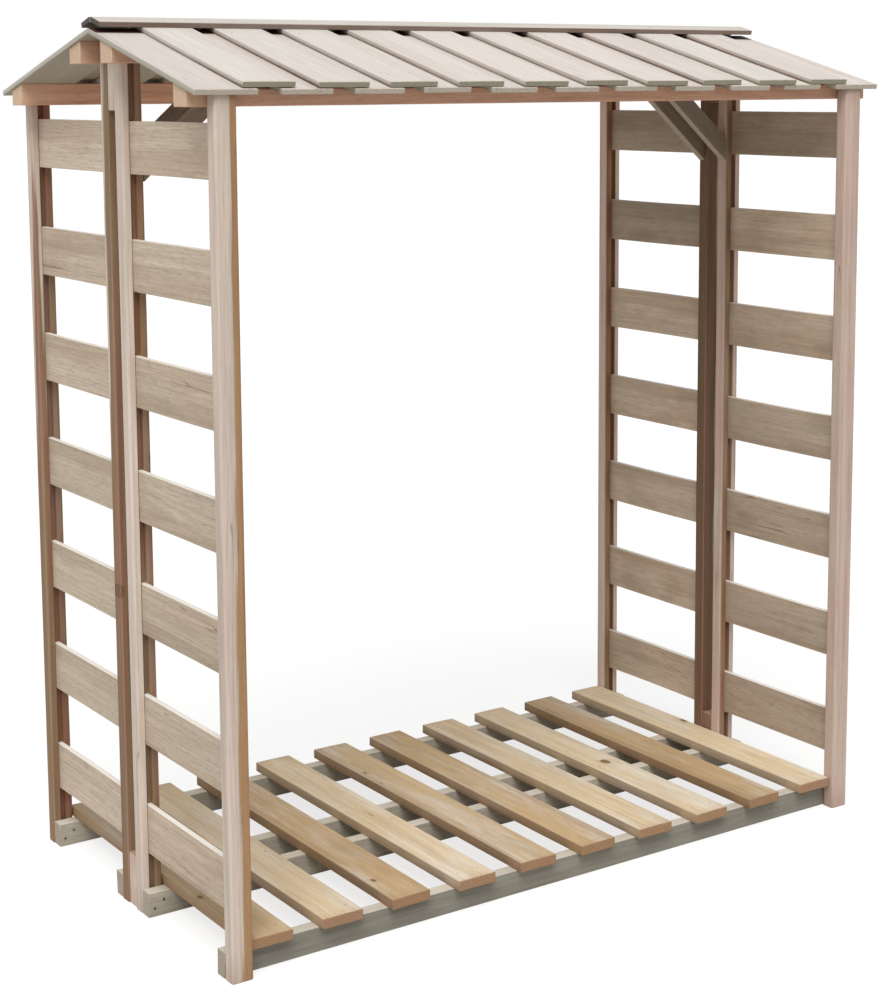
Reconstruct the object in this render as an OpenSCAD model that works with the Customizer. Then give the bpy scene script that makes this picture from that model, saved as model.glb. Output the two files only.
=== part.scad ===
// Free-standing double-sided log store of sawn timber.
// Two half-depth frames stand back to back and share one gable roof.
// X runs along the length, Y through the depth with the front at -Y, Z up from the ground.

/* [Overall] */
// Length over the outer faces of the end posts
store_length = 1578; // [1000:1:2400]
// Depth over the outer faces of the front and rear posts
store_depth = 852; // [600:1:1200]
// Height of the roof boards' underside at the ridge
ridge_height = 1735; // [1400:1:2200]
// Slope of the roof in degrees
roof_slope = 15; // [10:0.5:20]

/* [Posts] */
// Width of a post across its grooved face
post_w = 45; // [36:1:70]
// Thickness of a post through the depth of the store
post_t = 31; // [24:1:50]
// Radius of the rounded post edges
post_edge_r = 6; // [2:0.5:8]
// Gap between the two middle rows of posts
middle_gap = 32; // [15:1:60]
// Height of the spacer block at the foot of the middle posts
foot_spacer_h = 108; // [60:1:200]
// Height of the spacer block at the head of the middle posts
head_spacer_h = 146; // [80:1:200]
// Distance that a spacer block sits back from the post faces
spacer_inset = 3; // [0:0.5:6]

/* [Side slats] */
// Height of a side slat
slat_w = 100; // [70:1:140]
// Thickness of a side slat
slat_t = 12; // [8:0.5:18]
// Number of slats in each bay
slat_count = 7; // [3:1:9]
// Height of the lowest slat above the ground
lowest_slat_z = 122; // [90:0.5:180]
// Gap between the top slat and the underside of the eave purlins
top_slat_drop = 29; // [10:1:80]
// Depth of the slat groove in a post
groove_depth = 11; // [6:0.5:14]
// Spare width of the groove over the slat
groove_clear = 0.5; // [0.2:0.1:2]
// Spare length of a slat at the bottom of each groove
groove_end_clear = 0.5; // [0.2:0.1:3]

/* [Base] */
// Height of a joist
joist_h = 50; // [35:1:75]
// Thickness of a joist
joist_t = 28; // [18:1:45]
// Width of a floor slat
floor_w = 88; // [60:1:110]
// Thickness of a floor slat
floor_t = 21; // [12:1:30]
// Number of floor slats
floor_count = 10; // [5:1:11]
// Distance that the floor slats stop short of the outer post faces
floor_setback = 10; // [0:1:25]
// Gap between the end floor slats and the posts
floor_clear = 1; // [0.5:0.5:10]

/* [Roof frame] */
// Width of a purlin through the depth of the store
purlin_w = 50; // [35:1:70]
// Height of a purlin on its taller side
purlin_h = 44; // [35:1:70]
// Distance that the purlin ends stop short of the roof ends
purlin_inset = 3; // [0:1:30]
// Width of a knee brace in its own plane
brace_w = 40; // [24:1:60]
// Thickness of a knee brace
brace_t = 20; // [12:1:28]
// Drop of a brace's heel below the ridge purlins
brace_drop = 224; // [120:1:320]
// Run of a brace's lower edge along the ridge purlins
brace_run = 258; // [120:1:400]

/* [Roof boards] */
// Overhang of the roof past the end posts
end_overhang = 42; // [10:1:120]
// Overhang of the roof boards past the front and rear posts
eave_overhang = 7; // [2:1:80]
// Width of a roof board
board_w = 105; // [80:1:140]
// Width of the lower boards at the two ends of the roof
end_board_w = 125; // [90:1:160]
// Thickness of a roof board
board_t = 10; // [6:0.5:20]
// Number of upper boards on each slope
upper_count = 10; // [7:1:11]
// Reach of a ridge board down the slope, measured level
cap_reach = 38; // [25:1:80]
// Thickness of a ridge board
cap_t = 10; // [6:0.5:20]
// Distance that the ridge boards stop short of the roof ends
cap_inset = 4; // [0:1:30]

/* [Hidden] */
$fn = 48;
// Gap where one piece rests on a sloping face
seat = 0.2;
// Half of the open joint where the two slopes meet
ridge_joint = 0.4;
// Distance that a cut runs past the piece it cuts
overrun = 20;

// Planes shared by the pieces
left_face = -store_length / 2;
left_inner = left_face + post_w;
front_face = -store_depth / 2;
front_inner = front_face + post_t;
mid_back = -middle_gap / 2;
mid_front = mid_back - post_t;
roof_left = left_face - end_overhang;
roof_length = -2 * roof_left;
floor_z = joist_h;

// Heights set by the roof slope
function roof_z(y) = ridge_height - abs(y) * tan(roof_slope);
ridge_purlin_z = roof_z(mid_front) - purlin_h;
eave_purlin_z = roof_z(front_inner + purlin_w) - purlin_h;
eave_reach = store_depth / 2 + eave_overhang;
plumb_board_t = (board_t + seat) / cos(roof_slope);

// Set-out of the slats
groove_w = slat_t + groove_clear;
top_slat_z = eave_purlin_z - top_slat_drop - slat_w;
slat_pitch = (top_slat_z - lowest_slat_z) / (slat_count - 1);
slat_start = front_inner - groove_depth + groove_end_clear;
slat_end = mid_front + groove_depth - groove_end_clear;
floor_left = left_inner + floor_clear;
floor_pitch = (-2 * floor_left - floor_w) / (floor_count - 1);
floor_length = store_depth - 2 * floor_setback;

// Set-out of the roof boards
lower_count = upper_count + 1;
inner_boards_w = (lower_count - 2) * board_w;
lower_gap = (roof_length - 2 * end_board_w - inner_boards_w) / upper_count;
board_pitch = board_w + lower_gap;
first_upper_x = roof_left + end_board_w + lower_gap / 2 - board_w / 2;

// Timber colours
post_colour = "#c9b8aa";
slat_colour = "#b7aa97";
joist_colour = "#8a857c";
floor_colour = "#cdb48f";
purlin_colour = "#a57c66";
brace_colour = "#8d7c6c";
board_colour = "#ddd6ca";
cap_colour = "#cfc8bd";

// Mirror a front piece to the rear, or a left piece to the right
module at_rear() {
    mirror([0, 1, 0]) children();
}

module at_right() {
    mirror([1, 0, 0]) children();
}

// Sweep an outline drawn in Y and Z along X from x
module along_x(x, length) {
    translate([x, 0, 0]) rotate([90, 0, 90]) linear_extrude(length) children();
}

// Keep only what lies below the underside of the roof boards
module below_roof() {
    half = store_depth / 2 + overrun;
    top = ridge_height + overrun;
    difference() {
        children();
        along_x(roof_left - overrun, roof_length + 2 * overrun)
            polygon([
                [-half, roof_z(half) - seat],
                [0, ridge_height - seat],
                [half, roof_z(half) - seat],
                [half, top],
                [-half, top]
            ]);
    }
}

// Rectangle from the origin with four rounded corners
module rounded_rectangle(w, t, r) {
    translate([r, 0]) square([w - 2 * r, t]);
    translate([0, r]) square([w, t - 2 * r]);
    for (x = [r, w - r], y = [r, t - r]) translate([x, y]) circle(r);
}

// Post section with the slat groove in its far face
module post_section() {
    difference() {
        rounded_rectangle(post_w, post_t, post_edge_r);
        translate([(post_w - groove_w) / 2, post_t - groove_depth]) square([groove_w, groove_depth + overrun]);
    }
}

// Post at the front left corner, grooved towards the middle
module outer_post() {
    color(post_colour)
    below_roof()
        translate([left_face, front_face, 0]) linear_extrude(ridge_height) post_section();
}

// Post in the front middle row on the left, grooved towards the front
module inner_post() {
    color(post_colour)
    below_roof()
        translate([left_face, mid_back, 0]) mirror([0, 1, 0]) linear_extrude(ridge_height) post_section();
}

// Block between the two middle posts on the left
module spacer(z, height) {
    color(post_colour)
    below_roof()
        translate([left_face + spacer_inset, mid_back, z])
            cube([post_w - 2 * spacer_inset, middle_gap, height]);
}

module foot_spacer() {
    spacer(0, foot_spacer_h);
}

module head_spacer() {
    spacer(ridge_height - head_spacer_h, head_spacer_h);
}

// Slats of the front left bay, their ends in the post grooves
module side_slats() {
    color(slat_colour)
    for (i = [0 : slat_count - 1])
        translate([left_face + (post_w - slat_t) / 2, slat_start, lowest_slat_z + i * slat_pitch])
            cube([slat_t, slat_end - slat_start, slat_w]);
}

// Joist along the whole length with its front face at y
module joist(y) {
    color(joist_colour) translate([left_face, y, 0]) cube([store_length, joist_t, joist_h]);
}

// Floor slats across the four joists, between the left and the right posts
module floor_slats() {
    color(floor_colour)
    for (i = [0 : floor_count - 1])
        translate([floor_left + i * floor_pitch, -floor_length / 2, floor_z])
            cube([floor_w, floor_length, floor_t]);
}

// Purlin with its front face at y, its top planed to the roof slope
module purlin(y, z) {
    color(purlin_colour)
    below_roof()
        translate([roof_left + purlin_inset, y, z])
            cube([roof_length - 2 * purlin_inset, purlin_w, purlin_h]);
}

// Knee brace of the front middle row on the left, behind the ridge purlin
module knee_brace() {
    angle = atan2(brace_drop, brace_run);
    rise = roof_z(mid_front) - seat - ridge_purlin_z + brace_drop;
    run = rise / tan(angle);
    color(brace_colour)
    translate([left_inner, mid_front + brace_t, ridge_purlin_z - brace_drop])
        rotate([90, 0, 0])
            linear_extrude(brace_t)
                polygon([
                    [0, 0],
                    [run, rise],
                    [run - brace_w / sin(angle), rise],
                    [0, brace_w / cos(angle)]
                ]);
}

// Board down the front slope, its underside at height z under the ridge
module slope_board(x, w, z, t, reach) {
    lean = t * sin(roof_slope);
    eave_z = z - reach * tan(roof_slope);
    joint_z = z - ridge_joint * tan(roof_slope);
    along_x(x, w)
        polygon([
            [-ridge_joint, joint_z],
            [-ridge_joint, joint_z + t / cos(roof_slope)],
            [-reach - lean, eave_z + t * cos(roof_slope)],
            [-reach, eave_z]
        ]);
}

// Lower boards of the front slope with gaps between them
module lower_boards() {
    color(board_colour) {
        slope_board(roof_left, end_board_w, ridge_height, board_t, eave_reach);
        for (i = [0 : lower_count - 3])
            slope_board(roof_left + end_board_w + lower_gap + i * board_pitch, board_w,
                ridge_height, board_t, eave_reach);
        slope_board(-roof_left - end_board_w, end_board_w, ridge_height, board_t, eave_reach);
    }
}

// Upper boards of the front slope, each over a gap of the lower ones
module upper_boards() {
    color(board_colour)
    for (i = [0 : upper_count - 1])
        slope_board(first_upper_x + i * board_pitch, board_w,
            ridge_height + plumb_board_t, board_t, eave_reach);
}

// Ridge board of the front slope, lying on the upper boards
module ridge_board() {
    color(cap_colour)
    slope_board(roof_left + cap_inset, roof_length - 2 * cap_inset,
        ridge_height + 2 * plumb_board_t, cap_t, cap_reach);
}

outer_post();  // front_left_post
inner_post();  // mid_front_left_post
at_rear() inner_post();  // mid_rear_left_post
at_rear() outer_post();  // rear_left_post
at_right() outer_post();  // front_right_post
at_right() inner_post();  // mid_front_right_post
at_right() at_rear() inner_post();  // mid_rear_right_post
at_right() at_rear() outer_post();  // rear_right_post
foot_spacer();  // left_foot_spacer
head_spacer();  // left_head_spacer
at_right() foot_spacer();  // right_foot_spacer
at_right() head_spacer();  // right_head_spacer
side_slats();  // front_left_slats
at_rear() side_slats();  // rear_left_slats
at_right() side_slats();  // front_right_slats
at_right() at_rear() side_slats();  // rear_right_slats
joist(front_inner);  // front_joist
joist(mid_front - joist_t);  // mid_front_joist
at_rear() joist(mid_front - joist_t);  // mid_rear_joist
at_rear() joist(front_inner);  // rear_joist
floor_slats();
purlin(front_inner, eave_purlin_z);  // front_eave_purlin
purlin(mid_front - purlin_w, ridge_purlin_z);  // front_ridge_purlin
at_rear() purlin(mid_front - purlin_w, ridge_purlin_z);  // rear_ridge_purlin
at_rear() purlin(front_inner, eave_purlin_z);  // rear_eave_purlin
knee_brace();  // front_left_brace
at_rear() knee_brace();  // rear_left_brace
at_right() knee_brace();  // front_right_brace
at_right() at_rear() knee_brace();  // rear_right_brace
lower_boards();  // front_lower_boards
upper_boards();  // front_upper_boards
at_rear() lower_boards();  // rear_lower_boards
at_rear() upper_boards();  // rear_upper_boards
ridge_board();  // front_ridge_board
at_rear() ridge_board();  // rear_ridge_board
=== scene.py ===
"""Looks of a free-standing timber log store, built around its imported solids.

Every solid of the frame becomes a dressed board with eased edges, saw-cut ends and the slight bow of real
timber, which carries its own grain coordinates. Slats and roof boards come from one geometry node tree, the
grooved, planed and mitred timbers from the solids themselves. Nails and screws are added where boards cross.
"""

import logging
import math
import random
from dataclasses import dataclass, field, replace
from enum import Enum
from typing import ClassVar, Optional, Union

import bmesh
import bpy
from mathutils import Matrix, Vector, noise


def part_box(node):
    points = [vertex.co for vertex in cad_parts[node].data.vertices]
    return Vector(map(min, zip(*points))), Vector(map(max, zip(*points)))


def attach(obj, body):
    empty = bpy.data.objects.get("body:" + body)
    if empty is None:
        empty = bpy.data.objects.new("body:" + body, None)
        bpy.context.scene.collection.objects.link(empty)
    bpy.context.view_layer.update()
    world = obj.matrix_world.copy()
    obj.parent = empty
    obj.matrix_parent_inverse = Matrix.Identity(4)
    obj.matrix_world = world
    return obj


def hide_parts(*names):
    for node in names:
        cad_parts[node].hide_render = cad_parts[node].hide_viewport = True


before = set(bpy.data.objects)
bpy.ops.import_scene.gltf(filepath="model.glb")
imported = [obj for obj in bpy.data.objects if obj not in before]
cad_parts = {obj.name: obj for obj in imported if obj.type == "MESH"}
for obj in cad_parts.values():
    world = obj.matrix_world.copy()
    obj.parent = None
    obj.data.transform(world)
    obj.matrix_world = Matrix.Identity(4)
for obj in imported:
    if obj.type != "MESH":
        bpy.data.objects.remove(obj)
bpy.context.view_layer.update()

log = logging.getLogger("log_store")

Colour = tuple[float, float, float]
Triple = tuple[float, float, float]

BODY = "root"
IMAGE_WIDTH = 882
IMAGE_HEIGHT = 1002
ROOF_SLOPE = math.radians(15.0)
BRACE_RISE, BRACE_RUN = 0.224, 0.258
BRACE_SLOPE = math.atan2(BRACE_RISE, BRACE_RUN)

# Vertices closer than this are one, vertices this near a cut lie on it, both in metres.
SAME_PLACE = 2e-5
ON_CUT = 1e-7

# Edges flatter than the first angle are dropped, those sharper than the second are eased.
FLAT_ANGLE = math.radians(0.8)
SHARP_ANGLE = math.radians(40.0)

# Faces narrower than this, in metres, belong to rounded edges.
NARROW_FACE = 0.003

# An uneven saw cut is taken up over this distance from the end, in metres.
SAW_REACH = 0.012

# Waves of a sawn edge: cells per metre along and through a board, and over half its width.
RIPPLE_ALONG, RIPPLE_ACROSS, RIPPLE_THROUGH = 26.0, 3.0, 40.0

# A board lifts from this share of its half length on.
LIFT_START = 0.2

# Range of the pith: along the grain, as a share of half the width, and through the board, in metres.
PITH_ALONG, PITH_ACROSS, PITH_DEPTH = 40.0, 0.5, (0.03, 0.075)

# Most heartwood of a board whose character is drawn by lot.
DRAWN_HEART = 0.7


class Grain(Enum):
    """Direction that the fibres of a piece run in, with the normal of its broad face."""

    LENGTH_ON_EDGE = ((1.0, 0.0, 0.0), (0.0, -1.0, 0.0))
    DEPTH = ((0.0, 1.0, 0.0), (0.0, 0.0, 1.0))
    DEPTH_ON_EDGE = ((0.0, 1.0, 0.0), (-1.0, 0.0, 0.0))
    UPRIGHT_FRONT = ((0.0, 0.0, 1.0), (0.0, -1.0, 0.0))
    UPRIGHT_REAR = ((0.0, 0.0, 1.0), (0.0, 1.0, 0.0))
    FRONT_SLOPE = (
        (0.0, -math.cos(ROOF_SLOPE), -math.sin(ROOF_SLOPE)),
        (0.0, -math.sin(ROOF_SLOPE), math.cos(ROOF_SLOPE)),
    )
    REAR_SLOPE = (
        (0.0, math.cos(ROOF_SLOPE), -math.sin(ROOF_SLOPE)),
        (0.0, math.sin(ROOF_SLOPE), math.cos(ROOF_SLOPE)),
    )
    FRONT_RIDGE = ((1.0, 0.0, 0.0), (0.0, -math.sin(ROOF_SLOPE), math.cos(ROOF_SLOPE)))
    REAR_RIDGE = ((1.0, 0.0, 0.0), (0.0, math.sin(ROOF_SLOPE), math.cos(ROOF_SLOPE)))
    LEFT_BRACE = ((math.cos(BRACE_SLOPE), 0.0, math.sin(BRACE_SLOPE)), (0.0, -1.0, 0.0))
    RIGHT_BRACE = ((-math.cos(BRACE_SLOPE), 0.0, math.sin(BRACE_SLOPE)), (0.0, -1.0, 0.0))

    @property
    def along(self) -> Vector:
        """Unit vector along the fibres."""
        return Vector(self.value[0])

    @property
    def out(self) -> Vector:
        """Unit vector out of the broad face."""
        return Vector(self.value[1])

    @property
    def across(self) -> Vector:
        """Unit vector across the broad face."""
        return self.out.cross(self.along).normalized()

    @property
    def axes(self) -> tuple[Vector, Vector, Vector]:
        """Unit vectors along, across and out."""
        return self.along, self.across, self.out


class Head(Enum):
    """Kind of fixing that shows on a surface."""

    NAIL = "nail"
    SCREW = "screw"


@dataclass(frozen=True)
class Handling:
    """How a batch of boards was sawn and how far it has moved since, in metres.

    Attributes:
        arris: Width of the easing on the sawn edges.
        spacing: Distance between the cross sections of the mesh.
        crook: Most that a board bends in the plane of its broad face.
        bow: Most that a board bends out of that plane.
        cup: Most that the middle of the broad face stands off its edges.
        lift: Most that the far end of a board in a row rises off what carries it.
        trim: Most that a sawn end differs from its nominal place.
        skew: Most that a sawn end is out of square at the board's edge.
        ripple: Unevenness of the sawn edges.
        near_end: Whether boards in a row are trimmed at the low side of the grain too.
    """

    arris: float = 0.0012
    spacing: float = 0.05
    crook: float = 0.0
    bow: float = 0.0
    cup: float = 0.0
    lift: float = 0.0
    trim: float = 0.0
    skew: float = 0.0
    ripple: float = 0.0002
    near_end: bool = True


@dataclass(frozen=True)
class Tone:
    """Character of one board.

    Attributes:
        value: Lightness against the batch, from -1 to 1.
        warmth: Share of the warm tint, from 0 to 1.
        heart: Share of dark heartwood, from 0 to 1.
        side: Edge that the heartwood lies along, -1 or 1 across the broad face, 0 for either.
        depth: Darkness of the heartwood, from 0 for amber to 1.
        fall: How much more heartwood the low end shows than the high end.
        lean: How far the heartwood leans out of the broad face, from -1 to 1.
    """

    value: float = 0.0
    warmth: float = 0.5
    heart: float = 0.5
    side: float = 0.0
    depth: float = 1.0
    fall: float = 0.0
    lean: float = 0.0


@dataclass(frozen=True)
class TimberFinish:
    """Colours and texture of one batch of timber.

    Attributes:
        name: Name of the material.
        slot: Material slot of the record; not used.
        early: Colour of the pale spring wood.
        late: Colour of the dark summer wood.
        warm: Colour that the warmer boards lean towards.
        heart: Colour of the heartwood streaks.
        heart_red: Colour of redder bands in the heartwood, if it has any.
        amber: Colour of light heartwood, on boards whose heartwood is not dark.
        patina: Colour of the weathered patches.
        end: Colour of the sawn ends.
        under: Colour that faces turned downwards lean towards, painted shade on most timbers and painted
            light on the braces.
        grime: Colour of the dirt near the ends.
        edge: Colour of the narrow sides.
        top_light: Colour of the painted light that surfaces facing the sky lean towards.
        knot: Colour of the knots.
        ring_gap: Distance between growth rings, in metres.
        ring_depth: Contrast of the rings.
        fibre_depth: Contrast of the fine fibres.
        streak_depth: Contrast of the long streaks.
        fleck_depth: Strength of the short dark flecks.
        crack_depth: Strength of the thin drying cracks.
        knot_share: Share of the knot cells that hold a knot.
        knot_radius: Radius of a middling knot, in metres.
        heart_share: Strength of the heartwood streaks.
        patina_share: Strength of the weathered patches.
        stain_share: Strength of the dark stains on the warmer boards.
        underside_shading_share: Strength of that painted tint on undersides.
        edge_share: Strength of the tint on the narrow sides.
        side_shade_fade: How much that tint fades towards the upper edge, which leaves it as painted shade at
            the foot of the side.
        bay_shade_share: Strength of the painted shade, drawn in the heartwood colours, on the face towards
            the bay and in its groove.
        bay_shade_reach: Distance from the store's middle within which that face takes the painted shade, in
            metres.
        groove_half: Half the width of the groove in that face, in metres.
        cap_shadow: Colour of the painted shadow that the ridge cap casts on the wood near the ridge.
        cap_shadow_reach: Distance from the near end that this painted shadow covers, in metres.
        top_light_share: Strength of the painted light from above.
        grime_share: Strength of the dirt near the ends.
        grime_reach: Distance that the dirt reaches from an end, in metres.
        tone_spread: Difference in lightness between boards.
        warm_spread: Most that a board leans towards the warm colour.
        wear: Lightening along the edges.
        roughness: Lowest and highest roughness.
        relief: Strength of the raised grain.
        saw_marks: Strength of the cross marks that the saw left.
    """

    name: str
    slot: str
    early: Colour
    late: Colour
    warm: Colour
    heart: Colour
    patina: Colour
    end: Colour
    under: Colour
    grime: Colour
    edge: Colour = (0.3, 0.2, 0.13)
    top_light: Colour = (0.8, 0.77, 0.7)
    knot: Colour = (0.16, 0.085, 0.045)
    heart_red: Optional[Colour] = None
    amber: Optional[Colour] = None
    ring_gap: float = 0.0048
    ring_depth: float = 0.5
    fibre_depth: float = 0.3
    streak_depth: float = 0.4
    fleck_depth: float = 0.3
    crack_depth: float = 0.5
    knot_share: float = 0.06
    knot_radius: float = 0.008
    heart_share: float = 0.4
    patina_share: float = 0.4
    stain_share: float = 0.0
    underside_shading_share: float = 0.3
    edge_share: float = 0.0
    side_shade_fade: float = 0.0
    bay_shade_share: float = 0.0
    bay_shade_reach: float = 0.7735
    groove_half: float = 0.0066
    cap_shadow: Colour = (0.06, 0.025, 0.02)
    cap_shadow_reach: float = 0.0
    top_light_share: float = 0.0
    grime_share: float = 0.4
    grime_reach: float = 0.05
    tone_spread: float = 0.1
    warm_spread: float = 0.6
    wear: float = 0.15
    roughness: tuple[float, float] = (0.6, 0.86)
    relief: float = 0.35
    saw_marks: float = 0.2


@dataclass(frozen=True)
class SteelFinish:
    """Colours of the fixings.

    Attributes:
        name: Name of the material.
        bright: Colour of the clean metal.
        dull: Colour of the tarnished metal.
        metallic: Share of bare metal.
        roughness: Lowest and highest roughness.
    """

    name: str
    bright: Colour
    dull: Colour
    metallic: float = 0.75
    roughness: tuple[float, float] = (0.38, 0.62)


@dataclass(frozen=True)
class Texture:
    """Noise that is stretched along the fibres.

    Attributes:
        scale: Cells per metre along, across and through the board.
        shift: Place in the noise, which sets it apart from other textures.
        detail: Number of finer layers.
        roughness: Share of the finer layers.
    """

    scale: Triple
    shift: Triple = (0.0, 0.0, 0.0)
    detail: float = 2.0
    roughness: float = 0.5


FIBRE = Texture((9.0, 330.0, 330.0), detail=3.0, roughness=0.6)
STREAK = Texture((2.2, 75.0, 75.0), (4.0, 9.0, 2.0), roughness=0.55)
FLECK = Texture((38.0, 270.0, 270.0), detail=2.5, roughness=0.55)
BROAD = Texture((2.4, 11.0, 11.0), (7.0, 3.0, 5.0))
CLOUD = Texture((3.1, 17.0, 17.0), (1.0, 8.0, 6.0), 4.0, 0.62)
STAIN = Texture((5.0, 13.0, 13.0), (8.0, 5.0, 9.0), 3.0, 0.6)
RED_BAND = Texture((1.1, 95.0, 95.0), (6.0, 2.0, 7.0))
RING_WANDER = Texture((1.3, 4.0, 4.0))
RING_SHIVER = Texture((7.0, 34.0, 34.0))
CRACK_LINE = Texture((1.7, 62.0, 62.0), (3.0, 4.0, 8.0), 1.0)
KNOT_OUTLINE = Texture((110.0, 150.0, 150.0))
HEART_DRIFT = Texture((1.5, 3.0, 3.0), (2.0, 6.0, 1.0), 3.0, 0.6)
HEART_TEAR = Texture((3.5, 120.0, 120.0), (5.0, 1.0, 3.0))
END_MOTTLE = Texture((140.0, 140.0, 140.0), detail=3.0)
STEEL_SPOT = Texture((900.0, 900.0, 900.0), detail=3.0, roughness=0.6)
STEEL_LOT = Texture((14.0, 14.0, 14.0), detail=1.0)

Link = Union["Signal", bpy.types.NodeSocket, float, int, tuple]


class Signal:
    """A number on a node socket that takes part in Python arithmetic."""

    def __init__(self, bench: "Bench", socket: bpy.types.NodeSocket) -> None:
        """Wrap a socket of the bench's node tree."""
        self.bench = bench
        self.socket = socket

    def __add__(self, other: Link) -> "Signal":
        """Sum of two numbers."""
        return self.bench.math("ADD", self, other)

    def __radd__(self, other: Link) -> "Signal":
        """Sum with a plain number on the left."""
        return self.bench.math("ADD", other, self)

    def __sub__(self, other: Link) -> "Signal":
        """Difference of two numbers."""
        return self.bench.math("SUBTRACT", self, other)

    def __rsub__(self, other: Link) -> "Signal":
        """Difference from a plain number on the left."""
        return self.bench.math("SUBTRACT", other, self)

    def __mul__(self, other: Link) -> "Signal":
        """Product of two numbers."""
        return self.bench.math("MULTIPLY", self, other)

    def __rmul__(self, other: Link) -> "Signal":
        """Product with a plain number on the left."""
        return self.bench.math("MULTIPLY", other, self)

    def __truediv__(self, other: Link) -> "Signal":
        """Quotient of two numbers."""
        return self.bench.math("DIVIDE", self, other)

    def __rtruediv__(self, other: Link) -> "Signal":
        """Quotient of a plain number and this one."""
        return self.bench.math("DIVIDE", other, self)

    def __abs__(self) -> "Signal":
        """Size of the number without its sign."""
        return self.bench.math("ABSOLUTE", self)


class Bench:
    """Builds a node tree from expressions."""

    def __init__(self, tree: bpy.types.NodeTree) -> None:
        """Start on an empty copy of the tree.

        Args:
            tree: Node tree of a material, a world or a modifier, which is cleared.
        """
        self.tree = tree
        tree.nodes.clear()

    def node(
        self,
        kind: str,
        settings: Optional[dict[str, object]] = None,
        sockets: Optional[dict[Union[str, int], Link]] = None,
    ) -> bpy.types.Node:
        """Add one node.

        Args:
            kind: Type of the node.
            settings: Properties of the node, set before its sockets.
            sockets: Values or links by socket identifier, name or number.

        Returns:
            The new node.
        """
        made = self.tree.nodes.new(kind)
        for key, value in (settings or {}).items():
            setattr(made, key, value)
        for key, value in (sockets or {}).items():
            self.feed(self._input(made, key), value)
        return made

    def feed(self, target: bpy.types.NodeSocket, value: Link) -> None:
        """Link or set one input socket.

        Args:
            target: Input socket.
            value: Signal or socket to link, or a constant to set.
        """
        if isinstance(value, Signal):
            self.tree.links.new(value.socket, target)
        elif isinstance(value, bpy.types.NodeSocket):
            self.tree.links.new(value, target)
        elif target.type == "RGBA":
            target.default_value = (*value, 1.0)
        else:
            target.default_value = value

    @staticmethod
    def _input(made: bpy.types.Node, key: Union[str, int]) -> bpy.types.NodeSocket:
        """Look up an input socket of a node.

        Args:
            made: Node.
            key: Identifier, name or number of the socket.

        Returns:
            The input socket.
        """
        if isinstance(key, int):
            return made.inputs[key]
        for socket in made.inputs:
            if socket.identifier == key:
                return socket
        return made.inputs[key]

    def math(self, operation: str, *values: Link) -> Signal:
        """Math node on one to three numbers.

        Args:
            operation: Operation of the Math node.
            values: Operands in order.

        Returns:
            The result.
        """
        made = self.node("ShaderNodeMath", {"operation": operation}, dict(enumerate(values)))
        return Signal(self, made.outputs[0])

    def least(self, first: Link, second: Link) -> Signal:
        """Smaller of two numbers."""
        return self.math("MINIMUM", first, second)

    def most(self, first: Link, second: Link) -> Signal:
        """Larger of two numbers."""
        return self.math("MAXIMUM", first, second)

    def rise(self, value: Link, low: Link, high: Link) -> Signal:
        """Smooth step from 0 at low to 1 at high.

        Args:
            value: Number that is tested.
            low: Place where the step starts.
            high: Place where the step ends, above low.

        Returns:
            A number from 0 to 1.
        """
        made = self.node(
            "ShaderNodeMapRange",
            {"interpolation_type": "SMOOTHSTEP", "clamp": True},
            {"Value": value, "From Min": low, "From Max": high, "To Min": 0.0, "To Max": 1.0},
        )
        return Signal(self, made.outputs[0])

    def attribute(self, name: str) -> bpy.types.NodeSocket:
        """Vector that the piece's vertices carry under a name."""
        return self.node("ShaderNodeAttribute", {"attribute_name": name}).outputs["Vector"]

    def split(self, vector: bpy.types.NodeSocket) -> tuple[Signal, Signal, Signal]:
        """Three parts of a vector as numbers."""
        x, y, z = self.node("ShaderNodeSeparateXYZ", None, {"Vector": vector}).outputs
        return Signal(self, x), Signal(self, y), Signal(self, z)

    def join(self, x: Link, y: Link, z: Link) -> bpy.types.NodeSocket:
        """Vector made of three numbers."""
        return self.node("ShaderNodeCombineXYZ", None, {0: x, 1: y, 2: z}).outputs[0]

    def noise(self, vector: bpy.types.NodeSocket, detail: float = 2.0, roughness: float = 0.5) -> Signal:
        """Smooth noise around 0.5.

        Args:
            vector: Place, scaled to one cell per unit.
            detail: Number of finer layers.
            roughness: Share of the finer layers.

        Returns:
            A number from about 0 to 1.
        """
        made = self.node(
            "ShaderNodeTexNoise",
            {"noise_dimensions": "3D"},
            {"Vector": vector, "Scale": 1.0, "Detail": detail, "Roughness": roughness},
        )
        return Signal(self, made.outputs["Fac"])

    def texture(self, place: bpy.types.NodeSocket, texture: Texture) -> Signal:
        """Noise at a place, stretched as a texture says.

        Args:
            place: Place in metres.
            texture: Stretch and detail of the noise.

        Returns:
            A number from about 0 to 1.
        """
        cells = self.vector("MULTIPLY_ADD", place, texture.scale, texture.shift)
        return self.noise(cells, texture.detail, texture.roughness)

    def chance(self, value: Link) -> Signal:
        """Fixed random number from 0 to 1 for each value."""
        made = self.node("ShaderNodeTexWhiteNoise", {"noise_dimensions": "1D"}, {"W": value})
        return Signal(self, made.outputs["Value"])

    def mix(self, factor: Link, first: Link, second: Link) -> bpy.types.NodeSocket:
        """Blend of two colours.

        Args:
            factor: Share of the second colour.
            first: Colour at 0.
            second: Colour at 1.

        Returns:
            The mixed colour socket.
        """
        made = self.node(
            "ShaderNodeMix",
            {"data_type": "RGBA", "blend_type": "MIX", "clamp_factor": True},
            {"Factor_Float": factor, "A_Color": first, "B_Color": second},
        )
        for socket in made.outputs:
            if socket.identifier == "Result_Color":
                return socket
        raise ValueError("the Mix node has no colour result")

    def scaled(self, colour: Link, factor: Link) -> bpy.types.NodeSocket:
        """Colour times a number."""
        made = self.node("ShaderNodeVectorMath", {"operation": "SCALE"}, {0: colour, "Scale": factor})
        return made.outputs[0]

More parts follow.
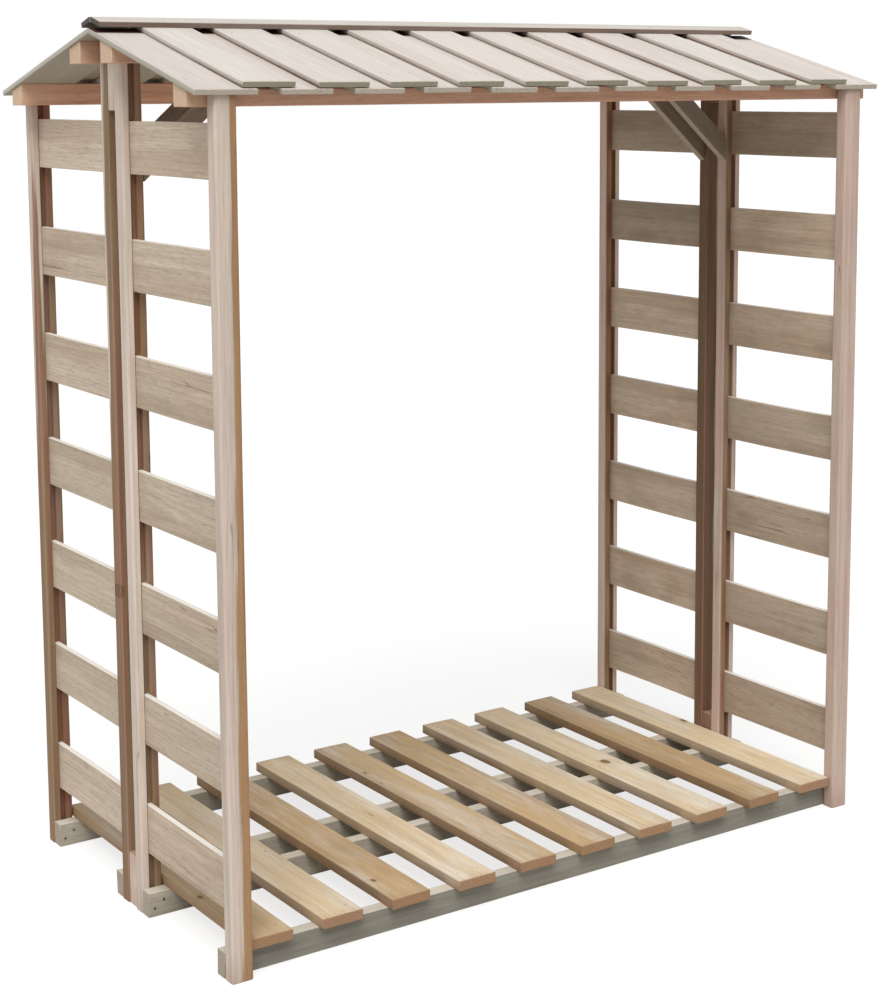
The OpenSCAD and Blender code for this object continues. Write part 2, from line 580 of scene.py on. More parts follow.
    def vector(self, operation: str, *values: Link) -> bpy.types.NodeSocket:
        """Vector Math node on two or three vectors.

        Args:
            operation: Operation of the Vector Math node.
            values: Operands in order.

        Returns:
            The resulting vector socket.
        """
        return self.node("ShaderNodeVectorMath", {"operation": operation}, dict(enumerate(values))).outputs[0]


class PointTree(Bench):
    """Geometry node tree that makes a mesh from points with attributes."""

    def __init__(self, name: str, inputs: dict[str, str]) -> None:
        """Open a tree with an input for the points and others by name.

        Args:
            name: Name of the tree.
            inputs: Socket types of the other inputs by name.
        """
        super().__init__(bpy.data.node_groups.new(name, "GeometryNodeTree"))
        for key, kind in {"Points": "NodeSocketGeometry", **inputs}.items():
            self.tree.interface.new_socket(key, in_out="INPUT", socket_type=kind)
        self.tree.interface.new_socket("Made", in_out="OUTPUT", socket_type="NodeSocketGeometry")
        self.given = self.node("NodeGroupInput").outputs

    def value(self, name: str) -> Signal:
        """Number that the tree is given under a name."""
        return Signal(self, self.given[name])

    def carried(self, name: str) -> bpy.types.NodeSocket:
        """Vector that the points carry under a name."""
        kind = "GeometryNodeInputNamedAttribute"
        return self.node(kind, {"data_type": "FLOAT_VECTOR"}, {"Name": name}).outputs[0]

    def store(self, geometry: bpy.types.NodeSocket, name: str, vector: Link) -> bpy.types.NodeSocket:
        """Geometry whose vertices carry a vector under a name.

        Args:
            geometry: Geometry so far.
            name: Name of the attribute.
            vector: Vector that is kept.

        Returns:
            The geometry with the attribute.
        """
        made = self.node(
            "GeometryNodeStoreNamedAttribute", {"data_type": "FLOAT_VECTOR", "domain": "POINT"},
            {"Geometry": geometry, "Name": name, "Value": vector},
        )
        return made.outputs[0]

    def close(self, geometry: bpy.types.NodeSocket, spent: tuple[str, ...], material: str) -> None:
        """End the tree: drop the attributes that only it used and set the material.

        Args:
            geometry: Realized geometry.
            spent: Names of the attributes.
            material: Name of the input that gives the material.
        """
        for name in spent:
            kept = self.node("GeometryNodeRemoveAttribute", None, {"Geometry": geometry, "Name": name})
            geometry = kept.outputs[0]
        dressed = self.node(
            "GeometryNodeSetMaterial", None, {"Geometry": geometry, "Material": self.given[material]}
        )
        self.node("NodeGroupOutput", None, {"Made": dressed.outputs[0]})


def linked(name: str, data: bpy.types.ID) -> bpy.types.Object:
    """Put a mesh, a lamp or a camera into the scene.

    Args:
        name: Name of the object.
        data: Data of the object.

    Returns:
        The new object at the origin.
    """
    made = bpy.data.objects.new(name, data)
    bpy.context.scene.collection.objects.link(made)
    return made


def grow(
    name: str,
    tree: bpy.types.NodeTree,
    points: list[Vector],
    attributes: dict[str, list[Vector]],
    values: dict[str, object],
) -> bpy.types.Object:
    """Run a geometry node tree on points and keep the mesh that it makes.

    Args:
        name: Name of the piece.
        tree: Geometry node tree.
        points: Places of the points.
        attributes: Vectors of the points by attribute name.
        values: Values of the tree's inputs by name.

    Returns:
        The piece at the origin, with no modifier left on it.
    """
    mesh = bpy.data.meshes.new(f"{name}.points")
    mesh.from_pydata([tuple(point) for point in points], [], [])
    for key, vectors in attributes.items():
        layer = mesh.attributes.new(key, "FLOAT_VECTOR", "POINT")
        for item, vector in zip(layer.data, vectors):
            item.vector = vector
    source = linked(f"{name}.points", mesh)
    modifier = source.modifiers.new("grow", "NODES")
    modifier.node_group = tree
    for item in tree.interface.items_tree:
        if item.in_out == "INPUT" and item.name in values:
            modifier[item.identifier] = values[item.name]
    depsgraph = bpy.context.evaluated_depsgraph_get()
    made = bpy.data.meshes.new_from_object(source.evaluated_get(depsgraph), depsgraph=depsgraph)
    made.name = name
    bpy.data.objects.remove(source)
    return linked(name, made)


def soften(mesh: bpy.types.Mesh) -> None:
    """Shade the narrow faces of rounded edges smooth, and leave the broad faces flat.

    Args:
        mesh: Mesh of a finished piece.
    """
    for face in mesh.polygons:
        spans = [(mesh.vertices[a].co - mesh.vertices[b].co).length for a, b in face.edge_keys]
        face.use_smooth = face.area < NARROW_FACE * max(spans)


class FinishMaterial:
    """Material that is made from a finish."""

    def __init__(self, finish: Union[TimberFinish, SteelFinish]) -> None:
        """Open the material's node tree.

        Args:
            finish: Colours and texture of the material.
        """
        self.finish = finish
        self.material = bpy.data.materials.new(finish.name)
        self.material.use_nodes = True
        self.bench = Bench(self.material.node_tree)

    def between(self, share: Link) -> Signal:
        """Roughness at a share of the way from the finish's lowest to its highest."""
        low, high = self.finish.roughness
        return low + (high - low) * share

    def close(self, sockets: dict[str, Link], relief: dict[str, Link]) -> bpy.types.Material:
        """Feed the surface shader and end the tree.

        Args:
            sockets: Values or links of the surface shader by socket name.
            relief: Values or links of the relief by socket name.

        Returns:
            The finished material.
        """
        bump = self.bench.node("ShaderNodeBump", None, relief)
        shader = self.bench.node("ShaderNodeBsdfPrincipled", None, {**sockets, "Normal": bump.outputs[0]})
        self.bench.node("ShaderNodeOutputMaterial", None, {"Surface": shader.outputs[0]})
        return self.material


class TimberMaterial(FinishMaterial):
    """Sawn softwood with growth rings in three dimensions, knots, heartwood, patina and wear, with painted
    light and shade on undersides, tops, narrow sides, under the ridge cap and towards the bays.
    """

    SPECULAR = 0.22
    FIBRE_GAIN = 1.6
    BUMP_DISTANCE = 0.0009
    SAW_PITCH = 2300.0
    KNOT_CELLS = (5.4, 8.0)
    KNOT_PITCH = 3600.0
    END_STEP = (0.0006, 0.0022)
    END_CRACKS = (21.0, 60.0)
    FACING_STEP = (0.3, 0.9)
    WORN_STEP = (0.0008, 0.0042)
    SIDE_STEP = (0.0005, 0.0018)
    # Soft borders of the painted shade in the groove and at the far end of the bay.
    GROOVE_EDGE = 0.0006
    BAY_SHADE_EDGE = 0.001
    # Soft border of the ridge cap's painted shadow.
    CAP_SHADOW_EDGE = 0.012

    def __init__(self, finish: TimberFinish) -> None:
        """Look up what the board carries and lay out the textures that several layers share.

        Args:
            finish: Colours and texture of the timber.
        """
        super().__init__(finish)
        bench = self.bench
        self.place = bench.attribute("timber_place")
        self.along, self.across, self.depth = bench.split(self.place)
        self.radius = bench.math("SQRT", self.across * self.across + self.depth * self.depth)
        self.reach = bench.split(bench.attribute("timber_reach"))
        self.half = bench.split(bench.attribute("timber_half"))
        self.value, self.warmth, self.heart_depth = bench.split(bench.attribute("timber_tone"))
        self.facing = bench.split(bench.node("ShaderNodeNewGeometry").outputs["True Normal"])
        self.end_gap = self.half[0] - abs(self.reach[0])
        self.on_end = 1.0 - bench.rise(self.end_gap, *self.END_STEP)
        self.fibre = bench.texture(self.place, FIBRE)
        self.streak = bench.texture(self.place, STREAK)
        self.fleck = bench.rise(bench.texture(self.place, FLECK), 0.47, 0.72)
        self.broad = bench.texture(self.place, BROAD)
        self.cloud = bench.texture(self.place, CLOUD)
        self.patina = bench.rise(self.cloud, 0.42, 0.68) * finish.patina_share

    def build(self) -> bpy.types.Material:
        """Build the node tree from the wood outwards to its wear.

        Returns:
            The finished material.
        """
        bench, finish = self.bench, self.finish
        knot, halo, knot_ring = self._knots()
        ring = self._rings(halo)
        crack = self._cracks()
        colour = self._heartwood_and_bay_shade(self._sapwood(ring))
        colour = bench.mix(self.fleck * finish.fleck_depth, colour, finish.heart)
        colour = bench.mix(crack * finish.crack_depth, colour, finish.knot)
        shade = 1.0 + finish.fibre_depth * (self.fibre - 0.5) * self.FIBRE_GAIN
        shade = shade + finish.streak_depth * (self.streak - 0.5)
        colour = bench.scaled(colour, shade * (1.0 + finish.tone_spread * self.value))
        colour = bench.mix(halo * 0.35, colour, finish.heart)
        colour = bench.mix(knot, colour, bench.mix(knot_ring, finish.knot, finish.heart))
        colour = self._dirt(self._ends(colour, ring))
        colour = self._painted_light(self._edges(colour))

        rough = 0.35 * self.fibre + 0.75 * self.patina + 0.3 * self.on_end + 0.2 * self.streak
        saw = bench.math("SINE", self.along * self.SAW_PITCH + 9.0 * self.broad) * (0.25 + 0.75 * self.cloud)
        height = 0.55 * self.fibre + 0.35 * ring + 0.3 * self.streak - 0.35 * self.fleck
        height = height - 0.5 * knot_ring * knot - 1.6 * crack + finish.saw_marks * 0.3 * saw
        return self.close(
            {
                "Base Color": colour,
                "Roughness": self.between(bench.least(rough, 1.0)),
                "Specular IOR Level": self.SPECULAR,
            },
            {"Strength": finish.relief, "Distance": self.BUMP_DISTANCE, "Height": height},
        )

    def _rings(self, halo: Signal) -> Signal:
        """Growth rings round a pith that wanders along the board.

        Args:
            halo: Nearness of a knot, which pushes the rings aside.

        Returns:
            Darkness of the ring, from 0 to 1.
        """
        bench = self.bench
        wander = bench.texture(self.place, RING_WANDER) - 0.5
        shiver = bench.texture(self.place, RING_SHIVER) - 0.5
        radius = self.radius + 0.032 * wander + 0.0022 * shiver + 0.006 * self.along + 0.007 * halo
        phase = radius / self.finish.ring_gap
        number = bench.math("FLOOR", phase)
        part = phase - number
        weight = 0.5 + 0.5 * bench.chance(number)
        return (bench.rise(part, 0.2, 0.86) - bench.rise(part, 0.9, 1.0)) * weight

    def _cracks(self) -> Signal:
        """Thin cracks along the fibres, in places.

        Returns:
            Mask of the cracks, from 0 to 1.
        """
        bench = self.bench
        thin = 1.0 - bench.rise(abs(bench.texture(self.place, CRACK_LINE) - 0.5), 0.002, 0.011)
        return thin * bench.rise(self.broad, 0.56, 0.66)

    def _knots(self) -> tuple[Signal, Signal, Signal]:
        """Sparse knots through the thickness of the board.

        Returns:
            Mask of the knots, nearness of a knot, and the rings inside a knot.
        """
        bench, finish = self.bench, self.finish
        along, across = self.KNOT_CELLS
        made = bench.node(
            "ShaderNodeTexVoronoi",
            {"voronoi_dimensions": "2D", "feature": "F1"},
            {
                "Vector": bench.join(self.along * along, self.across * across, 0.0),
                "Scale": 1.0, "Randomness": 1.0,
            },
        )
        uneven = bench.texture(self.place, KNOT_OUTLINE) - 0.5
        distance = Signal(bench, made.outputs["Distance"]) / across + 0.006 * uneven
        pick = bench.split(made.outputs["Color"])
        chosen = bench.math("GREATER_THAN", pick[0], 1.0 - finish.knot_share)
        radius = finish.knot_radius * (0.45 + 0.9 * pick[1])
        knot = chosen * (1.0 - bench.rise(distance, radius * 0.72, radius * 1.02))
        halo = chosen * (1.0 - bench.rise(distance, radius * 0.6, radius * 3.4))
        rings = 0.35 + 0.35 * bench.math("SINE", distance * self.KNOT_PITCH)
        rings = rings * (1.0 - bench.rise(distance, radius * 0.66, radius * 0.84))
        return knot, halo, rings

    def _sapwood(self, ring: Signal) -> bpy.types.NodeSocket:
        """Rings, warm tint, weathered patches and stains of the pale wood.

        Args:
            ring: Darkness of the growth rings.

        Returns:
            The colour of the pale wood.
        """
        bench, finish = self.bench, self.finish
        mark = ring * (0.45 + 0.9 * self.broad) * (1.0 + 0.9 * self.on_end)
        colour = bench.mix(bench.least(mark * finish.ring_depth, 1.0), finish.early, finish.late)
        warm = bench.rise(self.broad * 0.5 + self.warmth * 0.7, 0.25, 0.95)
        colour = bench.mix(warm * finish.warm_spread, colour, finish.warm)
        colour = bench.mix(self.patina, colour, finish.patina)
        if finish.stain_share:
            stain = bench.rise(bench.texture(self.place, STAIN), 0.46, 0.7)
            colour = bench.mix(stain * self.warmth * finish.stain_share, colour, finish.heart)
        return colour

    def _heartwood_and_bay_shade(self, colour: bpy.types.NodeSocket) -> bpy.types.NodeSocket:
        """Heartwood along one edge of the board, and painted shade in the heartwood colours over the face
        towards the bay and in its groove.

        Args:
            colour: Colour so far.

        Returns:
            The colour with the heartwood and the painted bay shade on it.
        """
        bench, finish = self.bench, self.finish
        heart, depth = self._heart() * finish.heart_share, self.heart_depth
        if finish.bay_shade_share:
            # Painted shade: the face towards the bay and its groove are darkened in the heartwood colours,
            # patchy and at full depth.
            bay = self._bay_shade()
            torn = 0.95 + 0.5 * (self.streak - 0.5) + 0.5 * (self.broad - 0.5)
            heart = bench.most(heart, bay * torn * finish.bay_shade_share)
            depth = bench.most(depth, bay)
        dark: Link = finish.heart
        if finish.heart_red:
            band = bench.rise(bench.texture(self.place, RED_BAND), 0.44, 0.62)
            dark = bench.mix(band, finish.heart, finish.heart_red)
        if finish.amber:
            dark = bench.mix(depth, finish.amber, dark)
        return bench.mix(heart, colour, dark)

    def _heart(self) -> Signal:
        """Heartwood that follows one edge of the board.

        Returns:
            Mask of the heartwood, from 0 to 1.
        """
        bench, reach, half = self.bench, self.reach, self.half
        side, fall, lean = bench.split(bench.attribute("timber_heart"))
        drift = bench.texture(self.place, HEART_DRIFT)
        torn = bench.texture(self.place, HEART_TEAR)
        share = abs(side)
        edge = bench.math("SIGN", side) * (reach[1] / half[1]) * 0.5 + 0.5
        front = edge + 0.55 * (drift - 0.5) + 0.5 * (torn - 0.5)
        front = front - fall * reach[0] / half[0] + 0.32 * lean * reach[2] / half[2]
        return bench.rise(front, 1.14 - 0.95 * share, 1.3 - 0.95 * share)

    def _bay_shade(self) -> Signal:
        """Painted shade on the face of a post towards its bay and in the groove in it.

        Returns:
            Mask of the painted shade, from 0 to 1.
        """
        bench, finish = self.bench, self.finish
        inner = abs(bench.split(bench.node("ShaderNodeTexCoord").outputs["Object"])[0])
        low, high = finish.groove_half, finish.groove_half + self.GROOVE_EDGE
        groove = 1.0 - bench.rise(abs(self.reach[1]), low, high)
        bay = bench.most(bench.rise(abs(self.facing[1]), 0.5, 0.9), groove)
        bay = bay * bench.math("GREATER_THAN", self.reach[2], 0.0)
        within = 1.0 - bench.rise(inner, finish.bay_shade_reach - self.BAY_SHADE_EDGE, finish.bay_shade_reach + self.BAY_SHADE_EDGE)
        return bay * within

    def _ends(self, colour: bpy.types.NodeSocket, ring: Signal) -> bpy.types.NodeSocket:
        """Sawn ends: darker, with rings and fine drying cracks from the pith.

        Args:
            colour: Colour so far.
            ring: Darkness of the growth rings.

        Returns:
            The colour with the ends on it.
        """
        bench, finish = self.bench, self.finish
        round_about, outwards = self.END_CRACKS
        angle = bench.math("ARCTAN2", self.depth, self.across)
        crack = bench.noise(bench.join(angle * round_about, self.radius * outwards, 0.0))
        split = bench.rise(crack, 0.63, 0.7)
        mottle = bench.texture(self.place, END_MOTTLE)
        sawn = bench.scaled(
            finish.end,
            (0.78 + 0.44 * mottle) * (1.0 - 0.68 * finish.ring_depth * ring) * (1.0 - 0.5 * split),
        )
        return bench.mix(self.on_end * 0.88, colour, sawn)

    def _dirt(self, colour: bpy.types.NodeSocket) -> bpy.types.NodeSocket:
        """Dirt that has crept in from the sawn ends.

        Args:
            colour: Colour so far.

        Returns:
            The colour with the dirt on it.
        """
        bench, finish = self.bench, self.finish
        gap = self.end_gap + finish.grime_reach * 1.2 * (self.cloud - 0.5)
        near = 1.0 - bench.rise(gap, 0.0, finish.grime_reach)
        return bench.mix(near * finish.grime_share * (0.75 + 0.25 * self.on_end), colour, finish.grime)

    def _edges(self, colour: bpy.types.NodeSocket) -> bpy.types.NodeSocket:
        """Worn edges, and the tint of the narrow sides, which is painted shade in the gaps and steps where it
        darkens towards their foot.

        Args:
            colour: Colour so far.

        Returns:
            The colour with the edges on it.
        """
        bench, finish, half, reach = self.bench, self.finish, self.half, self.reach
        along_side = 1.0 - self.on_end
        arris = bench.most(half[1] - abs(reach[1]), half[2] - abs(reach[2]))
        worn = 1.0 - bench.rise(arris + 0.003 * (self.cloud - 0.5), *self.WORN_STEP)
        bright = tuple(min(1.0, part * 1.18) for part in finish.early)
        colour = bench.mix(worn * along_side * finish.wear, colour, bright)
        if finish.edge_share:
            side = (1.0 - bench.rise(half[1] - abs(reach[1]), *self.SIDE_STEP)) * along_side
            # Darker towards the foot of the side: painted shade in the gaps and steps between boards.
            fade = 1.0 - finish.side_shade_fade * bench.rise(reach[2] / half[2], -0.75, 0.35)
            patchy = (0.9 + 1.1 * (self.cloud - 0.5)) * (1.0 - 0.25 * self.value)
            colour = bench.mix(side * patchy * fade * finish.edge_share, colour, finish.edge)
        return colour

    def _painted_light(self, colour: bpy.types.NodeSocket) -> bpy.types.NodeSocket:
        """Painted light and shade: tint of undersides, painted shadow on wood under a cap, and painted light
        on faces towards the sky.

        Args:
            colour: Colour so far.

        Returns:
            The colour with the painted light and shade on it.
        """
        bench, finish = self.bench, self.finish
        above = bench.rise(self.facing[2], *self.FACING_STEP)
        below = bench.rise(0.0 - self.facing[2], *self.FACING_STEP)
        # Painted shade on faces turned downwards; on the braces the tint is paler, painted light.
        colour = bench.mix(below * finish.underside_shading_share, colour, finish.under)
        # Painted shadow of the ridge cap on upward faces near the ridge.
        if finish.cap_shadow_reach:
            start = self.reach[0] + self.half[0]
            in_cap_shadow = 1.0 - bench.rise(start, finish.cap_shadow_reach - self.CAP_SHADOW_EDGE, finish.cap_shadow_reach)
            colour = bench.mix(in_cap_shadow * above, colour, finish.cap_shadow)
        # Painted light: faces towards the sky lean paler.
        if finish.top_light_share:
            colour = bench.mix(above * finish.top_light_share, colour, finish.top_light)
        return colour


class SteelMaterial(FinishMaterial):
    """Tarnished steel of nail and screw heads."""

    RELIEF = 0.2
    BUMP_DISTANCE = 0.0003

    def build(self) -> bpy.types.Material:
        """Build the node tree.

        Returns:
            The finished material.
        """
        bench, finish = self.bench, self.finish
        place = bench.node("ShaderNodeTexCoord").outputs["Object"]
        spot = bench.texture(place, STEEL_SPOT)
        tarnish = bench.rise(0.6 * spot + 0.5 * bench.texture(place, STEEL_LOT), 0.4, 0.7)
        return self.close(
            {
                "Base Color": bench.mix(tarnish, finish.bright, finish.dull),
                "Metallic": finish.metallic - 0.45 * tarnish,
                "Roughness": self.between(tarnish),
            },
            {"Strength": self.RELIEF, "Distance": self.BUMP_DISTANCE, "Height": spot},
        )


@dataclass(frozen=True)
class Board:
    """Box of one board in the directions of its grain.

    Attributes:
        grain: Direction of the fibres.
        middle: Middle of the box along, across and out.
        half: Half sizes of the box along, across and out.
    """

    grain: Grain
    middle: Vector
    half: Vector

    def point(self, along: float, across: float, out: float) -> Vector:
        """Place in the frame of a point given along, across and out."""
        return self.grain.along * along + self.grain.across * across + self.grain.out * out

    def along_at(self, axis: int, value: float, out: float) -> float:
        """Distance along the board at which a line on its face has a given X, Y or Z."""
        return (value - out * self.grain.out[axis]) / self.grain.along[axis]


@dataclass(frozen=True)
class Character:
    """What its lot gave one board.

    Attributes:
        pith: Grain coordinates of the board's middle.
        tone: Lightness, warmth and heartwood.
        side: Edge that the heartwood lies along, -1 or 1.
        move: Bend, cup and uneven ends.
    """

    pith: Vector
    tone: Tone
    side: float
    move: "Movement"

    @property
    def look(self) -> Vector:
        """Lightness, warmth and depth of the heartwood, as the material reads them."""
        return Vector((self.tone.value, self.tone.warmth, self.tone.depth))

    @property
    def heart(self) -> Vector:
        """Share and side, fall and lean of the heartwood, as the material reads them."""
        return Vector((self.tone.heart * self.side, self.tone.fall, self.tone.lean))


@dataclass
class Timber:
    """Dressed boards that stand for one node of the frame.

    Attributes:
        node: Node of the frame.
        grain: Direction of the fibres.
        handling: How the boards were sawn and have moved.
        tones: Character of the boards in order along X, then Y, then Z. Others are drawn by lot.
        boards: Boxes of the boards in that order, known once they are built.
    """

    node: str
    grain: Grain
    handling: Handling
    tones: tuple[Tone, ...] = ()
    boards: list[Board] = field(default_factory=list)

    def build(self, material: bpy.types.Material) -> bpy.types.Object:
        """Copy the node's solids and dress each one as a board.

        Args:
            material: Timber material.

        Returns:
            The piece at the origin, with its place in its mesh.
        """
        bm = self._solids()
        self._ease(bm)
        self._section(bm)
        names = [f"timber_{name}" for name in ("place", "reach", "half", "tone", "heart")]
        for name in names:
            bm.verts.layers.float_vector.new(name)
        layers = [bm.verts.layers.float_vector[name] for name in names]
        for number, verts in enumerate(self._boards(bm)):
            self._dress(number, verts, layers)
        mesh = bpy.data.meshes.new(f"{self.node}.timber")
        bmesh.ops.recalc_face_normals(bm, faces=bm.faces)
        bm.to_mesh(mesh)
        bm.free()
        mesh.materials.append(material)
        return linked(f"{self.node}.timber", mesh)

    def _solids(self) -> bmesh.types.BMesh:
        """Copy of the node's solids with none but their real edges.

        Returns:
            The mesh, for the caller to free.
        """
        bm = bmesh.new()
        bm.from_mesh(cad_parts[self.node].data)
        bmesh.ops.remove_doubles(bm, verts=bm.verts, dist=SAME_PLACE)
        bmesh.ops.dissolve_limit(
            bm, angle_limit=FLAT_ANGLE, use_dissolve_boundaries=False, verts=bm.verts, edges=bm.edges
        )
        return bm

    def _ease(self, bm: bmesh.types.BMesh) -> None:
        """Round off the sawn edges a little.

        Args:
            bm: Mesh of all boards.
        """
        sharp = [
            edge for edge in bm.edges
            if len(edge.link_faces) == 2 and edge.calc_face_angle(0.0) > SHARP_ANGLE
        ]
        bmesh.ops.bevel(
            bm, geom=sharp, offset=self.handling.arris, offset_type="OFFSET", segments=2, profile=0.5,
            affect="EDGES", clamp_overlap=False,
        )

    def _section(self, bm: bmesh.types.BMesh) -> None:
        """Cut the whole mesh into cross sections, so that it can bend.

        Args:
            bm: Mesh of all boards.
        """
        axis = self.grain.along
        ends = [vert.co.dot(axis) for vert in bm.verts]
        low, high = min(ends), max(ends)
        count = max(2, round((high - low) / self.handling.spacing))
        for step in range(1, count):
            at = low + (high - low) * step / count
            whole = bm.verts[:] + bm.edges[:] + bm.faces[:]
            bmesh.ops.bisect_plane(bm, geom=whole, dist=ON_CUT, plane_co=axis * at, plane_no=axis)

    @staticmethod
    def _boards(bm: bmesh.types.BMesh) -> list[list[bmesh.types.BMVert]]:
        """Vertices of each separate board, sorted by the board's place.

        Args:
            bm: Mesh of all boards.

        Returns:
            One list of vertices for each board.
        """
        bm.verts.index_update()
        seen: set[int] = set()
        boards = []
        for start in bm.verts:
            if start.index in seen:
                continue
            seen.add(start.index)
            queue, group = [start], []
            while queue:
                vert = queue.pop()
                group.append(vert)
                for edge in vert.link_edges:
                    other = edge.other_vert(vert)
                    if other.index not in seen:
                        seen.add(other.index)
                        queue.append(other)
            boards.append(group)

        def place(group: list[bmesh.types.BMVert]) -> tuple[float, float, float]:
            """Rounded middle of a board."""
            middle = sum((vert.co for vert in group), Vector()) / len(group)
            return round(middle.x, 2), round(middle.y, 2), round(middle.z, 2)

        return sorted(boards, key=place)

    def _measure(self, verts: list[bmesh.types.BMVert]) -> list[Vector]:
        """Note the box of one board.

        Args:
            verts: Vertices of the board.

        Returns:
            Places of the vertices along, across and out.
        """
        local = [Vector([vert.co.dot(axis) for axis in self.grain.axes]) for vert in verts]
        low = Vector([min(point[k] for point in local) for k in range(3)])
        high = Vector([max(point[k] for point in local) for k in range(3)])
        self.boards.append(Board(self.grain, (low + high) / 2, (high - low) / 2))
        return local

    def _draw(self, number: int, half: Vector) -> Character:
        """Draw the character of one board.

        Args:
            number: Number of the board in the piece.
            half: Half sizes of the board.

        Returns:
            The character, the same in every run.
        """
        lot = random.Random(f"{self.node} {number}")
        pith = Vector((
            lot.uniform(0.0, PITH_ALONG),
            lot.uniform(-PITH_ACROSS, PITH_ACROSS) * half.y,
            lot.choice((-1, 1)) * lot.uniform(*PITH_DEPTH),
        ))
        tone = self.tones[number] if number < len(self.tones) else Tone(
            lot.uniform(-1.0, 1.0), lot.random(), lot.random() * DRAWN_HEART, lot.choice((-1.0, 1.0))
        )
        return Character(pith, tone, tone.side or lot.choice((-1.0, 1.0)), Movement(self.handling, lot))

    def _dress(
        self, number: int, verts: list[bmesh.types.BMVert], layers: list[bmesh.types.BMLayerItem]
    ) -> None:
        """Give one board its grain coordinates and its slight faults.

        Args:
            number: Number of the board in the piece.
            verts: Vertices of the board.
            layers: Vertex layers for place, reach, half sizes, tone and heartwood.
        """
        local = self._measure(verts)
        middle, half = self.boards[-1].middle, self.boards[-1].half
        drawn = self._draw(number, half)
        for vert, point in zip(verts, local):
            reach = point - middle
            for layer, vector in zip(layers, (reach + drawn.pith, reach, half, drawn.look, drawn.heart)):
                vert[layer] = vector
            shift = drawn.move.at(reach, half)
            vert.co += sum((axis * shift[k] for k, axis in enumerate(self.grain.axes)), Vector())


